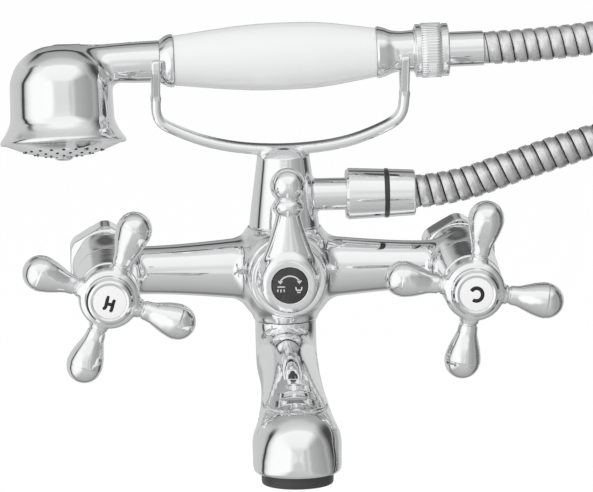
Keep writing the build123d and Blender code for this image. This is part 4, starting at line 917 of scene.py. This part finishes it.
NECK_WIDTH = smooth_curve([(-2.0, 12.0), (4.0, 12.1), (9.0, 11.3), (15.0, 9.2), (20.4, 7.3), (28.0, 5.2),
                           (31.0, 4.8), (42.0, 4.8)])
NECK_MIDDLE = smooth_curve([(-2.0, 72.0), (12.0, 71.8), (28.0, 70.6), (42.0, 70.0)])
NECK_DEPTH = smooth_curve([(-2.0, 5.3), (12.0, 5.1), (28.0, 4.6), (42.0, 4.6)])


def lever_field(p):
    """Disc whose neck narrows upwards to a bead and a ball."""
    hub = bar_field(p, ORIGIN, FORWARD, LEVER_BACK, LEVER_FRONT, LEVER_R, 3.2)
    z = np.clip(p[2], -2.0, 42.0)
    half_width, half_depth = NECK_WIDTH(z), NECK_DEPTH(z)
    across = p[0] / half_width
    deep = (-p[1] - NECK_MIDDLE(z)) / half_depth
    reach = np.sqrt(across ** 2 + deep ** 2)
    neck = (reach - 1.0) * np.minimum(half_width, half_depth)
    neck = -join(-neck, -np.maximum(-1.0 - p[2], p[2] - 40.0), 0.4)
    whole = join(hub, neck, 2.5)
    bead_height = (p[2] - NECK_BEAD[2]) * NECK_BEAD_FLATNESS
    bead = np.sqrt(p[0] ** 2 + (p[1] - NECK_BEAD[1]) ** 2 + bead_height ** 2) - NECK_BEAD_R
    whole = join(whole, bead * 0.7, 0.5)
    whole = join(whole, ball_field(p, LEVER_BALL, LEVER_BALL_R), 0.5)
    whole = bored(p, whole, ORIGIN, FORWARD, (60.0, LEVER_BORE_END, SPINDLE_BORE_R), edge=0.2)
    return bored(p, whole, ORIGIN, FORWARD, (BADGE_SEAT, 90.0, BADGE_R + 0.06), edge=0.25)


implicit("lever_cast", lever_field, (-12.6, -78.2, -12.6), (12.6, -62.0, 48.3), 0.5, "chrome", "diverter",
         ["diverter_lever"])
lathe("badge_disc", [(BADGE_SEAT, 0.0), (BADGE_SEAT, BADGE_R), (BADGE_EDGE - 0.05, BADGE_R, 0.3)]
      + [(BADGE_EDGE + BADGE_CROWN * (1 - (r / BADGE_R) ** 2), r) for r in (6.8, 5.6, 4.2, 2.8, 1.4, 0.0)],
      "black", "diverter", ["lever_badge"], ORIGIN, FORWARD)


def on_badge(u, v, lift):
    """Point on the badge's crowned face: u to the right, v up."""
    crown = BADGE_CROWN * (1 - (u * u + v * v) / BADGE_R ** 2)
    return (u, -(BADGE_EDGE + crown + lift), v)


badge_mark = [arc(0.0, -0.7, 4.8, 36, 144, 30)]
ribbon("badge_arc", badge_mark, 0.6, MARK_LIFT, on_badge, "white_ink", "diverter")
arrow_left = [[(-4.8, 2.2), (-3.95, 1.0), (-3.1, 2.1)], [(-3.95, 2.2), (-3.95, 1.2)]]
arrow_right = [[(4.8, 2.2), (3.95, 1.0), (3.1, 2.1)], [(3.95, 2.2), (3.95, 1.2)]]
ribbon("badge_arrows", arrow_left + arrow_right, 0.7, MARK_LIFT + 0.005, on_badge, "white_ink", "diverter")
shower_mark = [[(-5.2, -0.4), (-2.0, -0.4)], [(-4.9, -1.4), (-5.2, -2.5)], [(-3.7, -1.4), (-3.8, -2.7)],
               [(-2.5, -1.4), (-2.3, -2.5)]]
bath_mark = [[(2.4, -0.5), (2.7, -1.9), (4.7, -1.9), (5.0, -0.5)], [(3.0, -2.8), (4.4, -2.8)]]
ribbon("badge_marks", shower_mark + bath_mark, 0.75, MARK_LIFT, on_badge, "white_ink", "diverter")


# Cradle: bowed strap with a fork at each end

def rounded_bar(a, b, half_a, half_b, rounding):
    """Section of a bar: rounded rectangle in two coordinates."""
    qa, qb = np.abs(a) - (half_a - rounding), np.abs(b) - (half_b - rounding)
    outside = np.sqrt(np.maximum(qa, 0) ** 2 + np.maximum(qb, 0) ** 2)
    return outside + np.minimum(np.maximum(qa, qb), 0) - rounding


STRAP = np.array([(-53.1, 73.0), (-53.15, 70.0), (-53.1, 67.3), (-52.3, 64.4), (-50.6, 62.2), (-47.6, 60.5),
                  (-41.0, 57.5), (-33.0, 54.5), (-24.4, 52.4), (-16.0, 51.1), (-8.0, 50.5), (0.0, 50.3),
                  (8.0, 50.6), (15.0, 51.2), (21.8, 52.1), (30.0, 54.0), (38.0, 56.9), (45.0, 60.1),
                  (48.6, 62.7), (50.5, 66.0), (51.1, 70.0), (51.3, 73.0)])


def smooth_line(line, rounds):
    """Open line with its corners cut several times."""
    for _ in range(rounds):
        first = line[:-1] * 0.75 + line[1:] * 0.25
        second = line[:-1] * 0.25 + line[1:] * 0.75
        middle = np.stack([first, second], axis=1).reshape(-1, 2)
        line = np.vstack([line[:1], middle, line[-1:]])
    return line


STRAP_LINE = smooth_line(STRAP, 2)


def line_distance(u, v, line):
    """Distance to a bent line in the plane of two coordinates."""
    best = np.full(u.shape, 1e3)
    for (au, av), (bu, bv) in zip(line, line[1:]):
        du, dv = bu - au, bv - av
        t = np.clip(((u - au) * du + (v - av) * dv) / (du * du + dv * dv), 0, 1)
        best = np.minimum(best, np.hypot(u - au - t * du, v - av - t * dv))
    return best


def strap_field(p):
    """Rounded bar along a bent line in the X-Z plane."""
    across = line_distance(p[0], p[2], STRAP_LINE)
    depth = np.abs(p[1] + BAR_AXIS) + STRAP_CROWN * (across / STRAP_HALF_HEIGHT) ** 2
    return rounded_bar(across, depth, STRAP_HALF_HEIGHT, STRAP_HALF_DEPTH, 0.6)


def fork_line(x, held):
    """Half of a fork's centre line in (|y|, z): round foot, leg up the held part's flank, upright tip."""
    reach = held + SEAT_GAP + FORK_THICKNESS / 2
    axis_z = HANDSET_Z - x * math.tan(HANDSET_TILT)
    lean = math.asin((reach - FORK_BEND_R) / (axis_z - FORK_BOTTOM_Z - FORK_BEND_R - FORK_THICKNESS / 2))
    foot = axis_z - reach / math.sin(lean)
    bend_z = foot + FORK_BEND_R / math.sin(lean)
    line = [(FORK_BEND_R * math.sin(a), bend_z - FORK_BEND_R * math.cos(a))
            for a in np.linspace(0.0, math.pi / 2 - lean, 7)]
    shoulder = foot + FORK_SHOULDER_Y / math.tan(lean)
    if shoulder > FORK_TIP_Z - 2.5:
        return line + [((FORK_TIP_Z - foot) * math.tan(lean), FORK_TIP_Z)]
    line.append((FORK_SHOULDER_Y - 1.4 * math.sin(lean), shoulder - 1.4 * math.cos(lean)))
    line.append((FORK_SHOULDER_Y - 0.2, shoulder - 0.1))
    return line + [(FORK_SHOULDER_Y, shoulder + 1.4), (FORK_SHOULDER_Y, FORK_TIP_Z)]


def fork_field(p, x, line):
    """Flat bar bent along a fork's centre line."""
    across = line_distance(np.abs(p[1] + BAR_AXIS), p[2], line)
    return rounded_bar(p[0] - x, across, FORK_HALF_WIDTH, FORK_THICKNESS / 2, 0.9)


def cradle_field(p):
    """Strap, its two forks and the stem under it."""
    whole = strap_field(p)
    for x, held in FORKS:
        whole = join(whole, fork_field(p, x, fork_line(x, held)), 1.2)
    return join(whole, bar_field(p, CENTRE, UP, 41.5, 50.0, 3.9, 0.3), 0.6)


implicit("cradle_strap", cradle_field, (-55.8, -46.5, 41.0), (54.5, -19.5, 91.0), 0.5, "chrome", "body",
         ["cradle"])


# Column, whose top flows into the strap, and its outlet

COLUMN = smooth_curve([(BARREL_TOP, COLUMN_FOOT_R + 0.2), (19.5, COLUMN_FOOT_R - 0.1), (24.0, 14.1),
                       (45.5, 11.25), (47.4, 11.0), (48.2, 10.4), (51.2, 6.6), (52.0, 5.0)])


def column_field(p):
    """Tapered column, flowing into the strap above and the outlet at its side."""
    whole = bar_field(p, CENTRE, UP, BARREL_TOP, COLUMN_TOP + 3.0, COLUMN, 0.8)
    whole = join(whole, np.maximum(strap_field(p) - 0.04, np.abs(p[0]) - 15.0), 2.0)
    whole = np.maximum(whole, p[2] - 51.9 - p[0] ** 2 / 250)
    whole = join(whole, bar_field(p, OUTLET_AT, RIGHT, 5.0, 38.0, OUTLET_R, 0.4), 1.6)
    whole = bored(p, whole, CENTRE, UP, (0.0, 40.0, 8.2))
    return bored(p, whole, OUTLET_AT, RIGHT, (0.0, 45.0, OUTLET_BORE_R))


implicit("column_casting", column_field, (-16.0, -49.0, 17.0), (38.5, -17.0, 54.0), 0.6, "chrome", "body",
         ["column", "outlet_spigot"])


# Spout

# stations of the run: distance behind the outlet's axis, drop of the centre, half width, half height
SPOUT_RUN = [(92.0, 0.0, 12.7, 12.8), (72.0, 0.2, 12.4, 12.9), (56.0, 0.9, 12.5, 13.2), (42.0, 2.2, 12.9, 13.2),
             (30.0, 3.7, 13.5, 13.1), (18.0, 5.7, 14.6, 12.5), (8.0, 8.2, 15.8, 11.5), (2.0, 10.2, 16.5, 10.9)]
BELL_R = smooth_curve([(-66.0, 16.9), (SPOUT_OUTLET_Z, 17.0), (-61.2, 17.6), (-59.0, 17.82), (-56.4, 17.8),
                       (-53.8, 17.6), (-51.3, 17.2), (-48.7, 16.4), (-46.0, 15.1), (-43.0, 12.9), (-40.5, 9.9),
                       (-38.7, 6.0), (-38.0, 0.0)])


def spout_stations():
    """Centre, half width and half height along the tube: down from the body, round the elbow, forward."""
    rows = [(-BAR_AXIS, -BARREL_BOTTOM, SPOUT_R, SPOUT_R)]
    for k in range(13):
        a = math.pi / 2 * k / 12
        back, up = SPOUT_BEND_R * (1 - math.cos(a)), SPOUT_BEND_R * (1 - math.sin(a))
        rows.append((-BAR_AXIS - back, SPOUT_RUN_Z + up, SPOUT_R, SPOUT_R))
    behind = np.array([row[0] for row in SPOUT_RUN[::-1]])
    curves = [smooth_curve(list(zip(behind, [row[i] for row in SPOUT_RUN[::-1]]))) for i in (1, 2, 3)]
    for distance in np.linspace(92.0, 2.0, 19):
        drop, half_width, half_height = (float(curve(distance)) for curve in curves)
        rows.append((-SPOUT_REACH + distance, SPOUT_RUN_Z - drop, half_width, half_height))
    return rows


SPOUT_STATIONS = spout_stations()


def spout_tube(p, inset):
    """Oval tube along the stations."""
    best = np.full(p[0].shape, 1e3)
    for (ay, az, aw, ah), (by, bz, bw, bh) in zip(SPOUT_STATIONS, SPOUT_STATIONS[1:]):
        dy, dz = by - ay, bz - az
        t = np.clip(((p[1] - ay) * dy + (p[2] - az) * dz) / (dy * dy + dz * dz), 0, 1)
        half_width, half_height = aw + t * (bw - aw) - inset, ah + t * (bh - ah) - inset
        in_plane = np.hypot(p[1] - ay - t * dy, p[2] - az - t * dz)
        oval = np.sqrt((p[0] / half_width) ** 2 + (in_plane / half_height) ** 2)
        best = np.minimum(best, (oval - 1.0) * np.minimum(half_width, half_height))
    return np.maximum(best, p[2] + BARREL_BOTTOM + 0.3)


def spout_field(p):
    """Hollow tube with its neck in the body and a bell at the outlet."""
    outlet = (0.0, -SPOUT_REACH, 0.0)
    whole = spout_tube(p, 0.0)
    whole = join(whole, bar_field(p, outlet, UP, SPOUT_OUTLET_Z, -37.9, BELL_R, 1.2), 4.0)
    inner = spout_tube(p, SPOUT_WALL)
    bell = bar_field(p, outlet, UP, -70.0, -40.5, lambda s: BELL_R(s + SPOUT_WALL) - SPOUT_WALL, 1.0)
    inner = join(inner, bell, 3.0)
    inner = np.maximum(inner, -(p[2] + 59.0))
    whole = join(whole, bar_field(p, CENTRE, UP, -25.0, -12.0, 9.4, 0.3), 0.3)
    whole = cut(whole, inner)
    whole = bored(p, whole, CENTRE, UP, (-27.0, -8.0, 7.0), edge=0.2)
    return bored(p, whole, outlet, UP, (-70.0, -56.5, 13.95), edge=0.4)


implicit("spout_cast", spout_field, (-18.4, -170.6, -63.5), (18.4, -19.5, -11.5), 0.7, "chrome", "spout",
         ["spout"], place=SPOUT)
lathe("aerator_collar", [(AERATOR_BOTTOM, 11.4), (AERATOR_BOTTOM, 14.3, 1.0), (AERATOR_BOTTOM + 1.4, 14.5, 0.5),
                         (SPOUT_OUTLET_Z, 14.6), (SPOUT_OUTLET_Z, 13.9), (-56.9, 13.9), (-56.9, 12.2),
                         (AERATOR_BOTTOM + 1.6, 12.2), (AERATOR_BOTTOM + 1.6, 11.4)],
      "charcoal", "spout", ["aerator_ring"], (0, -SPOUT_REACH, 0), UP, place=SPOUT)


# Handset: bell head with its neck, ferrules, porcelain grip, tail and knurled nut

HEAD = smooth_curve([(HEAD_RIM_Z + rise, radius) for rise, radius in (
    (-7.1, HEAD_RIM_R - 0.2), (0.0, HEAD_RIM_R - 0.1), (0.8, HEAD_RIM_R), (1.6, HEAD_RIM_R - 0.2), (2.5, 25.6),
    (3.6, 24.8), (5.0, 23.9), (7.0, 22.9), (8.5, 22.25), (10.5, 21.8), (14.0, 21.65), (24.9, 21.4),
    (31.4, 19.5), (37.4, 14.4), (40.5, 8.0), (41.4, 2.5), (41.6, 0.0))])
NECK = smooth_curve([(-95.0, 7.0), (-80.5, 7.3), (-70.0, 8.1), (-60.0, 8.6), (-51.0, 8.8)])


def head_field(p):
    """Hollow bell, its neck and the post that takes the rose's screw."""
    whole = bar_field(p, HEAD_AT, UP, HEAD_RIM_Z, 8.7, HEAD, 0.8)
    whole = join(whole, bar_field(p, ORIGIN, RIGHT, HEAD_X, FERRULE_START, NECK, 0.3), 4.0)
    whole = bored(p, whole, HEAD_AT, UP, (HEAD_RIM_Z - 3.0, HEAD_RIM_Z + ROSE_SEAT, ROSE_R + LOOSE_FIT))
    inner = bar_field(p, HEAD_AT, UP, HEAD_RIM_Z, 6.5, lambda s: HEAD(s + 2.0) - 2.2, 1.0)
    whole = cut(whole, np.maximum(inner, HEAD_RIM_Z - 1.0 - p[2]))
    whole = bored(p, whole, ORIGIN, RIGHT, (HEAD_X, -45.0, 5.5))
    return join(whole, bar_field(p, HEAD_AT, UP, -14.0, 7.0, 4.0, 0.2), 0.3)


implicit("head_cast", head_field, (-119.8, -26.8, -34.5), (-51.0, 26.8, 11.0), 0.6, "chrome", "handset",
         ["handset_head"], place=HANDSET)


def rose_field(p):
    """Shallow dome with rings of spray holes."""
    rho = axis_distances(p, HEAD_AT, UP)[1]
    z = p[2] - HEAD_RIM_Z
    lean = np.sqrt(1 + (2 * ROSE_DROP * rho / ROSE_R ** 2) ** 2)
    under = (-ROSE_DROP * (1 - (rho / ROSE_R) ** 2) - z) / lean
    plate = -join(-np.maximum(under, under * -1.0 - ROSE_WALL), -(rho - ROSE_R), 0.5)
    rim = np.maximum(np.maximum(rho - ROSE_R, ROSE_R - ROSE_WALL - rho), np.maximum(z - ROSE_EDGE, under))
    plate = join(plate, rim, 0.3)
    plate = np.maximum(plate, ROSE_SCREW_R - 2.4 - rho)
    for count, radius in ROSE_RINGS:
        for k in range(count):
            a = 2 * math.pi * k / count
            hole = np.hypot(p[0] - HEAD_X - radius * math.cos(a), p[1] - radius * math.sin(a)) - ROSE_HOLE_R
            plate = cut(plate, hole, 0.25)
    return plate


def screw_field(p):
    """Low domed head with a driver slot, on a shank."""
    tip = HEAD_RIM_Z - ROSE_DROP
    curve = smooth_curve([(tip - ROSE_SCREW_HEAD, 1.2), (tip - 1.1, 2.3), (tip - 0.7, 3.3), (tip - 0.2, 3.85),
                          (tip + 0.2, ROSE_SCREW_R)])
    screw = bar_field(p, HEAD_AT, UP, tip - ROSE_SCREW_HEAD, tip + 0.1, curve, 0.2)
    screw = np.minimum(screw, bar_field(p, HEAD_AT, UP, tip, 4.0, 2.1, 0.2))
    slot_cut = np.maximum(np.maximum(np.abs(p[1]) - 0.45, np.abs(p[0] - HEAD_X) - 3.0), p[2] - tip + 0.5)
    return cut(screw, slot_cut, 0.15)


def hole_shade_field(p):
    """Nozzle-shaped black plugs standing a little out of the rose's holes; their black is painted shade inside
    the holes.
    """
    whole = np.full(p[0].shape, 1e3)
    for count, radius in ROSE_RINGS:
        foot = HEAD_RIM_Z - ROSE_DROP * (1 - (radius / ROSE_R) ** 2)
        for k in range(count):
            a = 2 * math.pi * k / count
            at = (HEAD_X + radius * math.cos(a), radius * math.sin(a), 0.0)
            whole = np.minimum(whole, bar_field(p, at, UP, foot - 0.3, foot + 1.5, SHADE_PLUG_R, 0.2))
    return whole


# black plugs in the spray holes: painted shade of the holes
implicit("nozzle_hole_shade", hole_shade_field, (HEAD_X - 17.6, -17.6, -39.0), (HEAD_X + 17.6, 17.6, -33.4), 0.3,
         "rubber", "handset", place=HANDSET)
implicit("rose_screw_slotted", screw_field, (HEAD_X - 4.1, -4.1, -40.3), (HEAD_X + 4.1, 4.1, 4.3), 0.25,
         "chrome", "handset", ["rose_screw"], place=HANDSET)
implicit("rose_dome", rose_field, (HEAD_X - 24.6, -24.6, -39.2), (HEAD_X + 24.6, 24.6, -30.8), 0.4,
         "chrome", "handset", ["rose_plate"], place=HANDSET)
lathe("ferrule_front", [(FERRULE_START, 6.1), (FERRULE_START, 8.95, 0.3), (-50.2, 9.7), (-49.2, 10.3),
                        (-48.0, 10.85), (-46.8, 11.15), (-45.9, 11.1), (GRIP_START, 10.7, 0.2),
                        (GRIP_START, 6.1)],
      "chrome", "handset", ["front_ferrule"], ORIGIN, RIGHT, place=HANDSET)
lathe("porcelain_grip", [(GRIP_START, 6.4), (GRIP_START, 10.1, 0.5)]
      + curve_steps([(-45.0, 10.45), (-31.4, 12.05), (-18.0, 13.4), (-9.0, 13.95), (1.0, 14.1), (11.0, 13.95),
                     (20.0, 13.2), (29.0, 11.9), (39.0, 10.3)])
      + [(GRIP_END, 10.05, 0.4), (GRIP_END, 6.4)],
      "porcelain", "handset", ["handset_grip"], ORIGIN, RIGHT, place=HANDSET, count=160)
lathe("tail_turned", [(GRIP_END, 6.1), (GRIP_END, 10.6, 0.3), (40.5, 10.9, 0.4)]
      + curve_steps([(41.0, 10.75), (43.5, 10.05), (46.5, 8.9), (50.0, TAIL_WAIST_R), (55.4, 8.75)])
      + [(55.4, 9.5), (62.5, 9.5), (62.5, 4.6), (43.5, 4.6), (43.5, 6.1)],
      "chrome", "handset", ["handset_tail"], ORIGIN, RIGHT, place=HANDSET)


def knurl(s, r, angle):
    """Fine axial teeth on the nut's middle band."""
    if r < 11.15 or s < KNURL_START or s > KNURL_END:
        return 0.0
    return 0.12 - KNURL_DEPTH * max(0.0, math.cos(KNURL_TEETH * angle)) ** 2


lathe("knurled_hose_nut", [(KNURL_NUT_START, 9.66), (KNURL_NUT_START, 10.9, 0.3),
                           (KNURL_NUT_START + 0.3, 11.1, 0.2), (57.9, 11.1, 0.2), (58.1, 10.8), (58.35, 10.8),
                           (58.5, 11.35), (61.0, 11.35), (64.0, 11.35), (66.6, 11.35), (66.75, 10.8),
                           (67.0, 10.8), (67.2, 11.1, 0.2), (KNURL_NUT_END - 0.4, 11.1, 0.3),
                           (KNURL_NUT_END, 10.6, 0.2), (KNURL_NUT_END, 7.36), (66.5, 7.36), (66.5, 9.66)],
      "chrome", "knurled_nut", ["knurled_nut"], ORIGIN, RIGHT, place=HANDSET, count=KNURL_TEETH * 8,
      ripple=knurl)
ferrule = lathe("hose_end_ferrule", [(64.3, 4.5), (64.3, 9.4), (66.45, 9.4), (66.45, HOSE_FERRULE_R, 0.1),
                                     (HOSE_FERRULE_END, HOSE_FERRULE_R, 0.5), (HOSE_FERRULE_END, 4.5)],
                "chrome", "handset", ["hose_ferrule"], ORIGIN, RIGHT, place=HANDSET)


# Ribbed hose along a smooth spline through the route

def route_line():
    """Points of the route's smooth spline."""
    data = bpy.data.curves.new("hose_route", "CURVE")
    data.dimensions = "3D"
    data.resolution_u = 64
    spline = data.splines.new("NURBS")
    spline.points.add(len(HOSE_ROUTE) - 1)
    for point, (x, z) in zip(spline.points, HOSE_ROUTE):
        point.co = (x, -BAR_AXIS * MM, z, 1.0)
    spline.order_u = 3
    spline.use_endpoint_u = True
    holder = bpy.data.objects.new("hose_route", data)
    bpy.context.scene.collection.objects.link(holder)
    mesh = bpy.data.meshes.new_from_object(holder)
    line = np.array([v.co for v in mesh.vertices])
    bpy.data.objects.remove(holder)
    bpy.data.meshes.remove(mesh)
    bpy.data.curves.remove(data)
    return line


def build_hose():
    """Wound strip round the route as one helical grid, with plain ends and a bore that closes inside them."""
    line = route_line() / MM
    lengths = np.concatenate([[0], np.cumsum(np.linalg.norm(np.diff(line, axis=0), axis=1))])
    total = lengths[-1]
    ribbed = total - 2 * HOSE_PLAIN_END
    turns = round(ribbed / HOSE_PITCH)
    parts = np.arange(AROUND_HOSE) / AROUND_HOSE
    angles = -2 * math.pi * parts
    stations = np.array([[turn + part for part, _ in STRIP] for turn in range(-2, turns + 3)]).ravel()
    distances = np.clip(HOSE_PLAIN_END + ribbed / turns * (stations[:, None] + parts[None, :]), 0.0, total)
    radius = np.tile([height for _, height in STRIP], turns + 5)[:, None]
    taper = HOSE_PLAIN_END / 2
    wound = np.clip(np.minimum(distances - taper, total - taper - distances) / taper, 0, 1)
    radius = radius * wound + HOSE_END_R * (1 - wound)

    def on_line(where):
        return np.stack([np.interp(np.clip(where, 0.0, total), lengths, line[:, i]) for i in range(3)], axis=2)

    def ring_points(where, how_far):
        """Points round the line: distances along it and radii, one column per angle."""
        along = on_line(where + 1.0) - on_line(where - 1.0)
        tangent = along / np.linalg.norm(along, axis=2)[:, :, None]
        depth = np.array((0.0, 1.0, 0.0))
        upward = np.cross(depth, tangent)
        return on_line(where) + how_far[:, :, None] * (np.cos(angles)[None, :, None] * depth
                                                       + np.sin(angles)[None, :, None] * upward)

    rings = len(stations)
    in_seam = np.tile([station in SEAM for station in range(len(STRIP))], turns + 5).tolist()
    ends = np.tile([[0.0], [total]], (1, AROUND_HOSE))
    bore = ring_points(ends, np.full(ends.shape, HOSE_BORE_R))
    rims = ring_points(ends, np.full(ends.shape, HOSE_END_R))
    points = np.concatenate([ring_points(distances, radius), bore, rims]).reshape(-1, 3)
    faces, dark = [], []
    for i in range(rings - 1):
        here = i * AROUND_HOSE
        ahead = here + AROUND_HOSE
        faces += [(here + k, here + k + 1, ahead + k + 1, ahead + k) for k in range(AROUND_HOSE - 1)]
        first, second = (min(i + j + len(STRIP), rings - 1) * AROUND_HOSE for j in (0, 1))
        faces.append((ahead - 1, first, second, ahead + AROUND_HOSE - 1))
        # faces between seam stations are marked for the near-black finish: painted shade in the groove
        dark += [in_seam[i] and in_seam[i + 1]] * AROUND_HOSE
    bore_at, rim_at = rings * AROUND_HOSE, (rings + 2) * AROUND_HOSE
    for k in range(AROUND_HOSE):
        k2 = (k + 1) % AROUND_HOSE
        faces.append((rim_at + k2, rim_at + k, bore_at + k, bore_at + k2))
        far = AROUND_HOSE
        faces.append((rim_at + far + k, rim_at + far + k2, bore_at + far + k2, bore_at + far + k))
    faces.append(tuple(bore_at + k for k in range(AROUND_HOSE))[::-1])
    faces.append(tuple(bore_at + AROUND_HOSE + k for k in range(AROUND_HOSE)))
    dark += [False] * (len(faces) - len(dark))
    _, kept, merged = np.unique(np.round(points, 3), axis=0, return_index=True, return_inverse=True)
    merged = merged.ravel().tolist()
    joined = [tuple(dict.fromkeys(merged[corner] for corner in reversed(face))) for face in faces]
    rows = [(face, is_dark) for face, is_dark in zip(joined, dark) if len(face) > 2]
    hose = finish_piece("ribbed_hose", points[kept], [face for face, _ in rows], None, "hose_steel", None,
                        ["shower_hose"])
    # second material: near black on the seam faces, painted shade of the groove between windings
    hose.data.materials.append(MATERIALS["seam_painted_shade"])
    hose.data.polygons.foreach_set("material_index", [int(is_dark) for _, is_dark in rows])
    marks = np.searchsorted(lengths, np.arange(0, total, 5.0)).clip(0, len(line) - 1)
    path = [tuple(point * MM) for point in (*line[marks], line[-1])]
    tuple(path[0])
    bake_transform(hose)


build_hose()
